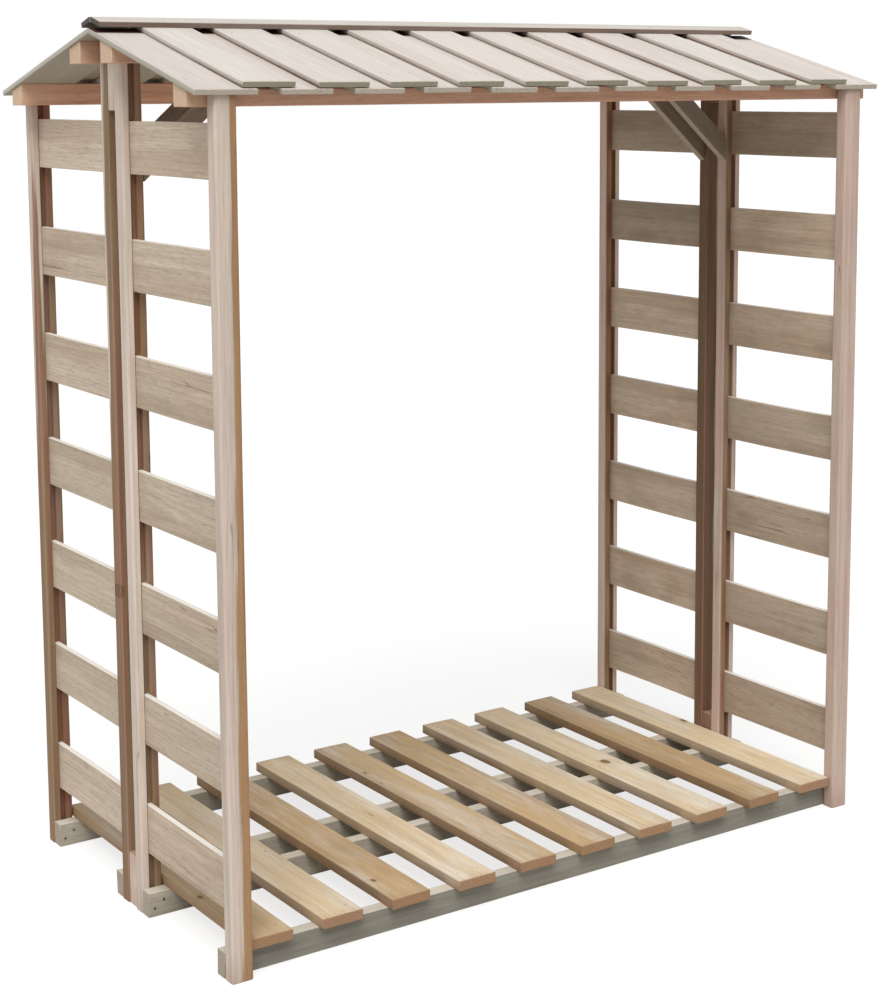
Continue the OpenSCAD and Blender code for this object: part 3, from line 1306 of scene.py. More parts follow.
class BoardRow(Timber):
    """Like boards side by side, which a geometry node tree makes from one point for each board."""

    INPUTS = {
        "Along": "NodeSocketVector", "Across": "NodeSocketVector", "Out": "NodeSocketVector",
        "Arris": "NodeSocketFloat", "Ripple": "NodeSocketFloat", "Sections": "NodeSocketInt",
        "Timber": "NodeSocketMaterial",
    }
    SPENT = ("row_grid", "row_pith", "row_bend", "row_saw", "row_cut", "row_lot")
    TREE = "sawn_boards"
    WIDE, DEEP = 6, 4
    END_SECTION = 0.001

    def build(self, material: bpy.types.Material) -> bpy.types.Object:
        """Measure the node's solids and make a board in the place of each.

        Args:
            material: Timber material.

        Returns:
            The piece at the origin, with its place in its mesh.
        """
        bm = self._solids()
        points = [self._point(number, verts) for number, verts in enumerate(self._boards(bm))]
        bm.free()
        longest = 2.0 * max(carried["timber_half"].x for _, carried in points)
        values = {
            "Along": self.grain.along, "Across": self.grain.across, "Out": self.grain.out,
            "Arris": self.handling.arris, "Ripple": self.handling.ripple,
            "Sections": max(2, round(longest / self.handling.spacing)) + 3, "Timber": material,
        }
        tree = bpy.data.node_groups.get(self.TREE) or self._tree()
        attributes = {name: [carried[name] for _, carried in points] for name in points[0][1]}
        return grow(f"{self.node}.timber", tree, [middle for middle, _ in points], attributes, values)

    def _point(self, number: int, verts: list[bmesh.types.BMVert]) -> tuple[Vector, dict[str, Vector]]:
        """Point that stands for one board, with what the tree has to know of it.

        Args:
            number: Number of the board in the piece.
            verts: Vertices of the board's solid.

        Returns:
            The board's middle, and its attributes by name.
        """
        local = self._measure(verts)
        box = self.boards[-1]
        ends = []
        for pick in (min, max):
            top = pick(point.x for point in local if point.z > box.middle.z)
            bottom = pick(point.x for point in local if point.z < box.middle.z)
            ends.append(((top + bottom) / 2, (top - bottom) / (2.0 * box.half.z)))
        (near, near_cut), (far, far_cut) = ends
        half = Vector(((far - near) / 2, box.half.y, box.half.z))
        drawn = self._draw(number, half)
        move, trimmed = drawn.move, float(self.handling.near_end)
        return box.point((near + far) / 2, box.middle.y, box.middle.z), {
            "timber_half": half,
            "timber_tone": drawn.look,
            "timber_heart": drawn.heart,
            "row_pith": drawn.pith,
            "row_bend": Vector((move.crook, move.bow, move.cup)),
            "row_saw": Vector((move.trims[0] * trimmed, move.trims[1], move.skew)),
            "row_cut": Vector((near_cut, far_cut, move.lift)),
            "row_lot": Vector((move.seed, trimmed, 0.0)),
        }

    @classmethod
    def _tree(cls) -> bpy.types.NodeTree:
        """Geometry nodes that make an eased and slightly bent board at every point.

        Returns:
            The node tree, the same for every row.
        """
        bench = PointTree(cls.TREE, cls.INPUTS)
        given = bench.given
        position = bench.node("GeometryNodeInputPosition").outputs[0]
        block = bench.node(
            "GeometryNodeMeshCube", None,
            {
                "Size": (2.0, 2.0, 2.0), "Vertices X": given["Sections"], "Vertices Y": cls.WIDE,
                "Vertices Z": cls.DEEP,
            },
        ).outputs["Mesh"]
        block = bench.store(block, "row_grid", position)
        rows = bench.node(
            "GeometryNodeInstanceOnPoints", None, {"Points": given["Points"], "Instance": block}
        )
        made = bench.node("GeometryNodeRealizeInstances", None, {"Geometry": rows.outputs[0]}).outputs[0]

        grid = bench.carried("row_grid")
        half = bench.split(bench.carried("timber_half"))
        inner = 1.0 - 2.0 / (bench.value("Sections") - 1.0)
        reach = cls._reach(bench, bench.split(grid), half, inner)
        bent = cls._bend(bench, bench.split(grid)[0], reach, half, inner)
        spot = bench.vector("SUBTRACT", position, grid)
        for name, distance in zip(("Along", "Across", "Out"), bent):
            spot = bench.vector("MULTIPLY_ADD", given[name], distance.socket, spot)
        reached = bench.join(*reach)
        made = bench.store(made, "timber_reach", reached)
        made = bench.store(made, "timber_place", bench.vector("ADD", reached, bench.carried("row_pith")))
        made = bench.node("GeometryNodeSetPosition", None, {"Geometry": made, "Position": spot}).outputs[0]
        bench.close(made, cls.SPENT, "Timber")
        return bench.tree

    @classmethod
    def _reach(
        cls, bench: PointTree, grid: tuple[Signal, ...], half: tuple[Signal, ...], inner: Signal
    ) -> list[Signal]:
        """Places of the vertices on a box with rounded edges.

        Args:
            bench: Bench of the tree.
            grid: Places on the even block, from -1 to 1.
            half: Half sizes of the board.
            inner: Place along the block of the last section before the end.

        Returns:
            Distances from the board's middle along, across and out.
        """
        arris = bench.value("Arris")
        inside, turns = [], []
        lasts = (inner, 1.0 - 2.0 / (cls.WIDE - 1), 1.0 - 2.0 / (cls.DEEP - 1))
        for place, size, last in zip(grid, half, lasts):
            outer = bench.math("GREATER_THAN", abs(place), 0.5 * last + 0.5)
            turn = outer * bench.math("SIGN", place)
            inside.append((size - arris) * (turn + (1.0 - outer) * place / last))
            turns.append(turn)
        ease = arris / bench.math("SQRT", abs(turns[0]) + abs(turns[1]) + abs(turns[2]))
        return [flat + turn * ease for flat, turn in zip(inside, turns)]

    @classmethod
    def _bend(
        cls, bench: PointTree, grid: Signal, reach: list[Signal], half: tuple[Signal, ...], inner: Signal
    ) -> tuple[Signal, Signal, Signal]:
        """Places of the vertices once the board is cut to length and has moved.

        Args:
            bench: Bench of the tree.
            grid: Place along the even block, from -1 to 1.
            reach: Distances from the board's middle along, across and out.
            half: Half sizes of the board.
            inner: Place along the block of the last section before the end.

        Returns:
            Distances from the board's middle along, across and out.
        """
        crook, bow, cup = bench.split(bench.carried("row_bend"))
        near_trim, far_trim, skew = bench.split(bench.carried("row_saw"))
        near_cut, far_cut, lift = bench.split(bench.carried("row_cut"))
        seed, near_end, _ = bench.split(bench.carried("row_lot"))
        far = bench.math("GREATER_THAN", grid, 0.0)
        share, edge = reach[0] / half[0], reach[1] / half[1]
        curve = 1.0 - share * share
        cell = bench.join(reach[0] * RIPPLE_ALONG + seed, edge * RIPPLE_ACROSS, reach[2] * RIPPLE_THROUGH)
        wave = bench.noise(cell, 0.0) * 2.0 - 1.0
        rising = bench.most((share - LIFT_START) / (1.0 - LIFT_START), 0.0)
        ending = bench.most((abs(reach[0]) - half[0]) / SAW_REACH + 1.0, 0.0)
        trim = near_trim + far * (far_trim - near_trim) + skew * edge * bench.most(far, near_end)
        at_end = bench.math("GREATER_THAN", abs(grid), inner - cls.END_SECTION)
        slant = (near_cut + far * (far_cut - near_cut)) * at_end
        return (
            reach[0] + ending * trim + slant * reach[2],
            reach[1] + crook * curve + bench.value("Ripple") * wave,
            reach[2] + bow * curve + cup * (1.0 - edge * edge) + lift * rising * rising,
        )


class Movement:
    """Bend, cup and uneven ends of one board."""

    LEAST_CUP = 0.2
    SEEDS = 90.0

    def __init__(self, handling: Handling, lot: random.Random) -> None:
        """Draw the faults of one board.

        Args:
            handling: Most that each fault may be.
            lot: Seeded random numbers of the board.
        """
        self.crook = lot.uniform(-1.0, 1.0) * handling.crook
        self.bow = lot.uniform(-1.0, 1.0) * handling.bow
        self.cup = lot.uniform(self.LEAST_CUP, 1.0) * handling.cup
        self.lift = lot.random() * handling.lift
        self.trims = (lot.uniform(-1.0, 1.0) * handling.trim, lot.uniform(-1.0, 1.0) * handling.trim)
        self.skew = lot.uniform(-1.0, 1.0) * handling.skew
        self.ripple = handling.ripple
        self.seed = lot.uniform(0.0, self.SEEDS)

    def at(self, reach: Vector, half: Vector) -> Vector:
        """Shift of one point of a board that stands alone.

        Args:
            reach: Place of the point from the board's middle, along, across and out.
            half: Half sizes of the board.

        Returns:
            Shift along, across and out.
        """
        s, t = reach.x / half.x, reach.y / half.y
        curve = 1.0 - s * s
        cell = Vector((reach.x * RIPPLE_ALONG + self.seed, t * RIPPLE_ACROSS, reach.z * RIPPLE_THROUGH))
        shift = Vector((
            0.0,
            self.crook * curve + self.ripple * noise.noise(cell),
            self.bow * curve + self.cup * (1.0 - t * t),
        ))
        edge = abs(reach.x) - (half.x - SAW_REACH)
        if edge > 0.0:
            shift.x += (self.trims[s > 0.0] + self.skew * t) * edge / SAW_REACH
        return shift


@dataclass
class SubAssembly:
    """Group of timbers with one finish.

    Attributes:
        finish: Colours and texture of the timber.
        timbers: Timbers of the group.
    """

    finish: TimberFinish
    timbers: list[Timber] = field(default_factory=list)

    KIND: ClassVar[type[Timber]] = Timber
    HANDLING: ClassVar[Handling] = Handling()
    NODES: ClassVar[dict[str, tuple[Grain, tuple[Tone, ...]]]] = {}

    @classmethod
    def listed(cls, finish: TimberFinish) -> "SubAssembly":
        """List the timbers that the group has on the frame.

        Args:
            finish: Finish of the timbers.

        Returns:
            The sub-assembly, not yet built.
        """
        timbers = [cls.KIND(node, grain, cls.HANDLING, tones) for node, (grain, tones) in cls.NODES.items()]
        return cls(finish, timbers)

    def build(self) -> list[bpy.types.Object]:
        """Make the boards, dress them and let them ride on the frame.

        Returns:
            The finished pieces.
        """
        material = TimberMaterial(self.finish).build()
        pieces = []
        for timber in self.timbers:
            piece = timber.build(material)
            self.dress(piece, timber.node)
            pieces.append(piece)
        return pieces

    def dress(self, piece: bpy.types.Object, node: str) -> None:
        """Give a piece its shading and its place on the frame.

        Args:
            piece: Dressed boards.
            node: Node of the frame that the piece stands for.
        """
        soften(piece.data)
        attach(piece, BODY)
        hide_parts(node)
        log.info("%s: %d faces, %s", piece.name, len(piece.data.polygons), self.finish.name)


class Posts(SubAssembly):
    """Eight grooved posts and the four spacer blocks between the middle rows."""

    HANDLING = Handling(arris=0.0009, spacing=0.06, crook=0.0012, bow=0.0006, ripple=0.00025)
    NODES = {
        "front_left_post": (Grain.UPRIGHT_REAR, (Tone(0.1, 0.35, 0.68, 1.0, depth=0.38, fall=0.05),)),
        "mid_front_left_post": (Grain.UPRIGHT_FRONT, (Tone(0.3, 0.25, 0.12, -1.0),)),
        "mid_rear_left_post": (Grain.UPRIGHT_REAR, (Tone(0.1, 0.2, 0.52, -1.0, fall=0.35, lean=-1.0),)),
        "rear_left_post": (Grain.UPRIGHT_FRONT, (Tone(0.2, 0.3, 0.44, 1.0, fall=0.55, lean=1.0),)),
        "front_right_post": (Grain.UPRIGHT_REAR, (Tone(-0.1, 1.0, 0.0, -1.0),)),
        "mid_front_right_post": (Grain.UPRIGHT_FRONT, (Tone(0.1, 1.0, 0.0, -1.0),)),
        # Darkest post, full heartwood: painted shade for the shadow it stands in behind the right middle
        # front post.
        "mid_rear_right_post": (Grain.UPRIGHT_REAR, (Tone(-1.0, 0.4, 1.0, -1.0),)),
        "rear_right_post": (Grain.UPRIGHT_FRONT, (Tone(0.5, 0.7, 0.0, 1.0),)),
    }
    BLOCK = Handling(arris=0.0012, spacing=0.04)
    # The right blocks are darkened: painted shade in the gap between the right middle posts.
    BLOCK_TONES = {"left": Tone(0.7, 0.5, 0.0), "right": Tone(-0.6, 0.9, 0.75, 1.0)}

    @classmethod
    def listed(cls, finish: TimberFinish) -> "SubAssembly":
        """List the posts, and the blocks after them.

        Args:
            finish: Finish of the timbers.

        Returns:
            The sub-assembly, not yet built.
        """
        group = super().listed(finish)
        for side, tone in cls.BLOCK_TONES.items():
            for place in ("foot", "head"):
                node = f"{side}_{place}_spacer"
                group.timbers.append(Timber(node, Grain.UPRIGHT_FRONT, cls.BLOCK, (tone,)))
        return group


def slat_tones(values: tuple[float, ...], warmth: float, turn: int) -> tuple[Tone, ...]:
    """Tones of one bay of slats, warmer and cooler by turns.

    Args:
        values: Lightness of the slats from the lowest up.
        warmth: Mean share of the warm tint.
        turn: 1 where the lowest slat is a warmer one, -1 where it is a cooler one.

    Returns:
        The tones in the same order.
    """
    return tuple(
        Tone(value, warmth + 0.12 * turn * (-1) ** number, 0.3 + 0.08 * number, turn)
        for number, value in enumerate(values)
    )


class SideSlats(SubAssembly):
    """Slats of the two ends, seated in the post grooves; on the right browner, with painted light and shade
    in their lightness.
    """

    KIND = BoardRow
    HANDLING = Handling(arris=0.001, spacing=0.045, crook=0.0012, bow=0.0016)
    LEFT = (0.1, -0.15, -0.1, -0.15, 0.0, 0.15, 0.5)
    # Lightness of the right slats from the lowest up carries painted light and shade: top slats darker where
    # the roof's shadow falls, the middle of the rear bay lighter.
    RIGHT_FRONT = (-0.6, -0.5, -0.5, -0.5, 0.0, 0.5, -0.7)
    RIGHT_REAR = (0.2, 0.5, 0.4, 1.0, 1.0, -0.8, -0.8)
    NODES = {
        "front_left_slats": (Grain.DEPTH_ON_EDGE, slat_tones(LEFT, 0.25, 1)),
        "rear_left_slats": (Grain.DEPTH_ON_EDGE, slat_tones(LEFT, 0.25, -1)),
        "front_right_slats": (Grain.DEPTH_ON_EDGE, slat_tones(RIGHT_FRONT, 0.8, 1)),
        "rear_right_slats": (Grain.DEPTH_ON_EDGE, slat_tones(RIGHT_REAR, 0.8, -1)),
    }


class Joists(SubAssembly):
    """Four joists on the ground, the front one greyer than the rest."""

    HANDLING = Handling(arris=0.0014, spacing=0.06, bow=0.001, trim=0.0012, skew=0.0006, ripple=0.0)
    NODES = {
        "front_joist": (Grain.LENGTH_ON_EDGE, (Tone(0.0, 0.1, 0.3, -1.0),)),
        "mid_front_joist": (Grain.LENGTH_ON_EDGE, (Tone(0.0, 0.85, 0.3, -1.0),)),
        "mid_rear_joist": (Grain.LENGTH_ON_EDGE, (Tone(0.0, 0.8, 0.3, -1.0),)),
        "rear_joist": (Grain.LENGTH_ON_EDGE, (Tone(0.0, 0.9, 0.3, -1.0),)),
    }


class FloorSlats(SubAssembly):
    """Slats of the raised floor, no two of one tone."""

    KIND = BoardRow
    HANDLING = Handling(
        arris=0.0016, spacing=0.05, crook=0.002, cup=0.0006, trim=0.003, skew=0.0012, ripple=0.0003
    )
    NODES = {
        "floor_slats": (Grain.DEPTH, (
            Tone(0.1, 0.6, 0.25, 1.0),
            Tone(0.4, 0.3, 0.2, -1.0),
            Tone(-0.3, 0.95, 0.25, 1.0),
            Tone(0.6, 0.3, 0.15, -1.0),
            Tone(-0.1, 0.7, 0.35, 1.0),
            Tone(-0.4, 0.9, 0.35, -1.0),
            Tone(0.3, 0.35, 0.2, 1.0),
            Tone(0.5, 0.2, 0.2, -1.0),
            Tone(-0.9, 0.95, 0.45, 1.0),
            Tone(0.5, 0.1, 0.15, -1.0),
        )),
    }


class Purlins(SubAssembly):
    """Four purlins under the roof boards."""

    HANDLING = Handling(arris=0.0014, spacing=0.06, crook=0.0006, bow=0.001, trim=0.001, skew=0.0006)
    NODES = {
        "front_eave_purlin": (Grain.LENGTH_ON_EDGE, (Tone(0.1, 0.0, 0.45, 1.0),)),
        "front_ridge_purlin": (Grain.LENGTH_ON_EDGE, (Tone(0.2, 0.05, 0.15, 1.0),)),
        "rear_ridge_purlin": (Grain.LENGTH_ON_EDGE, (Tone(-0.2, 0.95, 0.55, 1.0),)),
        # Lightest purlin: painted light, for the light thrown back onto its face under the roof.
        "rear_eave_purlin": (Grain.LENGTH_ON_EDGE, (Tone(1.0, 0.1, 0.1, -1.0),)),
    }


class KneeBraces(SubAssembly):
    """Four knee braces from the middle posts to the ridge purlins."""

    HANDLING = Handling(arris=0.0012, spacing=0.05, ripple=0.0003)
    NODES = {
        "front_left_brace": (Grain.LEFT_BRACE, ()),
        "rear_left_brace": (Grain.LEFT_BRACE, ()),
        "front_right_brace": (Grain.RIGHT_BRACE, ()),
        "rear_right_brace": (Grain.RIGHT_BRACE, ()),
    }


class LowerRoof(SubAssembly):
    """Lower roof boards of both slopes, spaced apart."""

    KIND = BoardRow
    HANDLING = Handling(
        arris=0.0009, spacing=0.045, crook=0.0015, trim=0.003, skew=0.001, ripple=0.0005, near_end=False
    )
    NODES = {"front_lower_boards": (Grain.FRONT_SLOPE, ()), "rear_lower_boards": (Grain.REAR_SLOPE, ())}


class UpperRoof(SubAssembly):
    """Upper roof boards of both slopes, lapped over the gaps."""

    KIND = BoardRow
    HANDLING = Handling(
        arris=0.0009, spacing=0.045, crook=0.0022, cup=0.0004, lift=0.0018, trim=0.004, skew=0.0012,
        ripple=0.0006, near_end=False,
    )
    NODES = {"front_upper_boards": (Grain.FRONT_SLOPE, ()), "rear_upper_boards": (Grain.REAR_SLOPE, ())}


class RidgeBoards(SubAssembly):
    """Two boards in a V over the ridge."""

    HANDLING = Handling(arris=0.001, spacing=0.06, cup=0.0004, trim=0.0015, skew=0.0008, ripple=0.0004)
    NODES = {"front_ridge_board": (Grain.FRONT_RIDGE, ()), "rear_ridge_board": (Grain.REAR_RIDGE, ())}


@dataclass
class Fixings:
    """Heads of nails or screws, set on points by a geometry node tree.

    Attributes:
        name: Name of the piece.
        kind: Nail or screw.
        finish: Finish of the heads.
        places: Places and facing directions of the heads.
        radius: Radius of a head, in metres.
        rise: Height of a head over the timber, in metres.
        seed: Seed of the heads' turn and size.
    """

    name: str
    kind: Head
    finish: SteelFinish
    places: list[tuple[Vector, Vector]]
    radius: float
    rise: float
    seed: int

    INPUTS: ClassVar[dict[str, str]] = {
        "Head radius": "NodeSocketFloat", "Head rise": "NodeSocketFloat", "Seed": "NodeSocketInt",
        "Steel": "NodeSocketMaterial",
    }
    SIDES: ClassVar[int] = 14
    TAPER: ClassVar[float] = 0.78
    SIZES: ClassVar[tuple[float, float]] = (0.9, 1.08)
    BAR: ClassVar[tuple[float, float]] = (1.1, 0.24)
    BAR_RISE: ClassVar[float] = 0.7

    def build(self) -> bpy.types.Object:
        """Set a head on every point and let the piece ride on the frame.

        Returns:
            The finished piece.
        """
        steel = SteelMaterial(self.finish).build()
        piece = grow(
            self.name, self._tree(), [place for place, _ in self.places],
            {"facing": [facing for _, facing in self.places]},
            {"Head radius": self.radius, "Head rise": self.rise, "Seed": self.seed, "Steel": steel},
        )
        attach(piece, BODY)
        log.info("%s: %d heads, %d faces", piece.name, len(self.places), len(piece.data.polygons))
        return piece

    def _tree(self) -> bpy.types.NodeTree:
        """Geometry nodes that set one head on every point.

        Returns:
            The node tree, with inputs for the sizes, the seed and the finish.
        """
        bench = PointTree(f"{self.name}.heads", self.INPUTS)
        given = bench.given
        head = self._head(bench, bench.value("Head radius"), bench.value("Head rise"))
        turn, size = (
            bench.node(
                "FunctionNodeRandomValue", {"data_type": "FLOAT"},
                {"Min_001": low, "Max_001": high, "Seed": given["Seed"]},
            ).outputs[1]
            for low, high in ((0.0, math.tau), self.SIZES)
        )
        facing = bench.carried("facing")
        upright = bench.node("FunctionNodeAlignRotationToVector", {"axis": "Z"}, {"Vector": facing})
        spin = bench.node("FunctionNodeAxisAngleToRotation", None, {"Axis": (0.0, 0.0, 1.0), "Angle": turn})
        turned = bench.node(
            "FunctionNodeRotateRotation", {"rotation_space": "LOCAL"},
            {"Rotation": upright.outputs[0], "Rotate By": spin.outputs[0]},
        )
        heads = bench.node(
            "GeometryNodeInstanceOnPoints", None,
            {
                "Points": given["Points"], "Instance": head, "Rotation": turned.outputs[0],
                "Scale": bench.join(size, size, 1.0),
            },
        )
        real = bench.node("GeometryNodeRealizeInstances", None, {"Geometry": heads.outputs[0]})
        bench.close(real.outputs[0], ("facing",), "Steel")
        return bench.tree

    def _head(self, bench: Bench, radius: Signal, rise: Signal) -> bpy.types.NodeSocket:
        """Shape of one head, standing on the timber's face.

        Args:
            bench: Bench of the geometry node tree.
            radius: Radius of the head.
            rise: Height of the head.

        Returns:
            The head's geometry.
        """
        cone = {"Radius Top": radius * self.TAPER, "Radius Bottom": radius, "Depth": rise * 2.0}
        dome = bench.node("GeometryNodeMeshCone", {"fill_type": "NGON"}, {"Vertices": self.SIDES, **cone})
        sunk = self._raised(bench, dome.outputs["Mesh"], rise * -1.0)
        if self.kind is Head.NAIL:
            return sunk
        joined = bench.node("GeometryNodeJoinGeometry")
        for long, short in (self.BAR, self.BAR[::-1]):
            size = bench.join(radius * long, radius * short, rise)
            bar = bench.node("GeometryNodeMeshCube", None, {"Size": size})
            bench.feed(joined.inputs[0], self._raised(bench, bar.outputs["Mesh"], rise * self.BAR_RISE))
        bench.feed(joined.inputs[0], sunk)
        return joined.outputs[0]

    @staticmethod
    def _raised(bench: Bench, shape: bpy.types.NodeSocket, height: Signal) -> bpy.types.NodeSocket:
        """Shape moved up by a height."""
        sockets = {"Geometry": shape, "Translation": bench.join(0.0, 0.0, height)}
        return bench.node("GeometryNodeTransform", None, sockets).outputs[0]


class FixingPlan:
    """Where boards are nailed and frames are screwed together.

    Spreads are shares of half a board's width, and brace screws shares of half a brace's length. A joist
    screw has the end it is at, its distance from the post's middle in metres and its share of the joist's
    height.
    """

    ROOF_SPREAD, VERGE_SPREAD, FLOOR_SPREAD = 0.62, 0.72, 0.58
    BRACE_SCREWS = (0.68, 0.84)
    JOIST_SCREWS = ((-1.0, -0.009, 0.34), (-1.0, 0.011, 0.64), (1.0, 0.01, 0.36), (1.0, -0.01, 0.66))
    JOISTS = {"front_joist": 1.0, "mid_front_joist": -1.0, "mid_rear_joist": 1.0, "rear_joist": -1.0}

    def __init__(self, groups: list[SubAssembly]) -> None:
        """Look up the boards of the finished sub-assemblies.

        Args:
            groups: Sub-assemblies, already built.
        """
        self.boards = {timber.node: timber.boards for group in groups for timber in group.timbers}

    def roof_nails(self) -> list[tuple[Vector, Vector]]:
        """Two nails in each upper board over each purlin, and a row along the ridge boards.

        Returns:
            Places and facing directions.
        """
        places = []
        for side in ("front", "rear"):
            rows = [self._middle(f"{side}_{name}_purlin").y for name in ("eave", "ridge")]
            for board in self.boards[f"{side}_upper_boards"]:
                places += self._pairs(board, 1, rows, self.ROOF_SPREAD)
            cap = self.boards[f"{side}_ridge_board"][0]
            for board in self.boards[f"{side}_upper_boards"]:
                across = board.middle.y * board.grain.across.x
                places += self._pairs(cap, 0, [across], 0.0)
            ends = self.boards[f"{side}_lower_boards"]
            for board, shift in ((ends[0], -1.0), (ends[-1], 1.0)):
                out = board.middle.z + board.half.z
                across = board.middle.y + shift * board.grain.across.x * board.half.y * self.VERGE_SPREAD
                for row in rows:
                    places.append((board.point(board.along_at(1, row, out), across, out), board.grain.out))
        return places

    def floor_nails(self) -> list[tuple[Vector, Vector]]:
        """Two nails in each floor slat over each joist.

        Returns:
            Places and facing directions.
        """
        rows = [self._middle(node).y for node in self.JOISTS]
        places = []
        for board in self.boards["floor_slats"]:
            places += self._pairs(board, 1, rows, self.FLOOR_SPREAD)
        return places

    def frame_screws(self) -> list[tuple[Vector, Vector]]:
        """Screws that hold joists to the posts and braces to the purlins.

        Returns:
            Places and facing directions.
        """
        places = []
        post = self._middle("front_right_post").x
        for node, toward in self.JOISTS.items():
            low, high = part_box(node)
            face = high.y if toward > 0.0 else low.y
            for end, aside, share in self.JOIST_SCREWS:
                place = Vector((end * post + aside, face, low.z + (high.z - low.z) * share))
                places.append((place, Vector((0.0, toward, 0.0))))
        for side in ("left", "right"):
            for name, toward in (("front", 1.0), ("rear", -1.0)):
                board = self.boards[f"{name}_{side}_brace"][0]
                out = board.middle.z - toward * board.half.z
                for along in self.BRACE_SCREWS:
                    place = board.point(board.middle.x + board.half.x * along, board.middle.y, out)
                    places.append((place, Vector((0.0, toward, 0.0))))
        return places

    @staticmethod
    def _middle(node: str) -> Vector:
        """Middle of a node's box."""
        low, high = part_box(node)
        return (low + high) / 2

    @staticmethod
    def _pairs(board: Board, axis: int, rows: list[float], spread: float) -> list[tuple[Vector, Vector]]:
        """Places of nails in rows across a board.

        Args:
            board: Board that is nailed.
            axis: Axis on which the rows are given.
            rows: Values of the rows on that axis.
            spread: Distance of the nails from the middle, as a share of half the width.

        Returns:
            Places and facing directions.
        """
        out = board.middle.z + board.half.z
        places = []
        for row in rows:
            for side in {-spread, spread}:
                across = board.middle.y + side * board.half.y
                places.append((board.point(board.along_at(axis, row, out), across, out), board.grain.out))
        return places


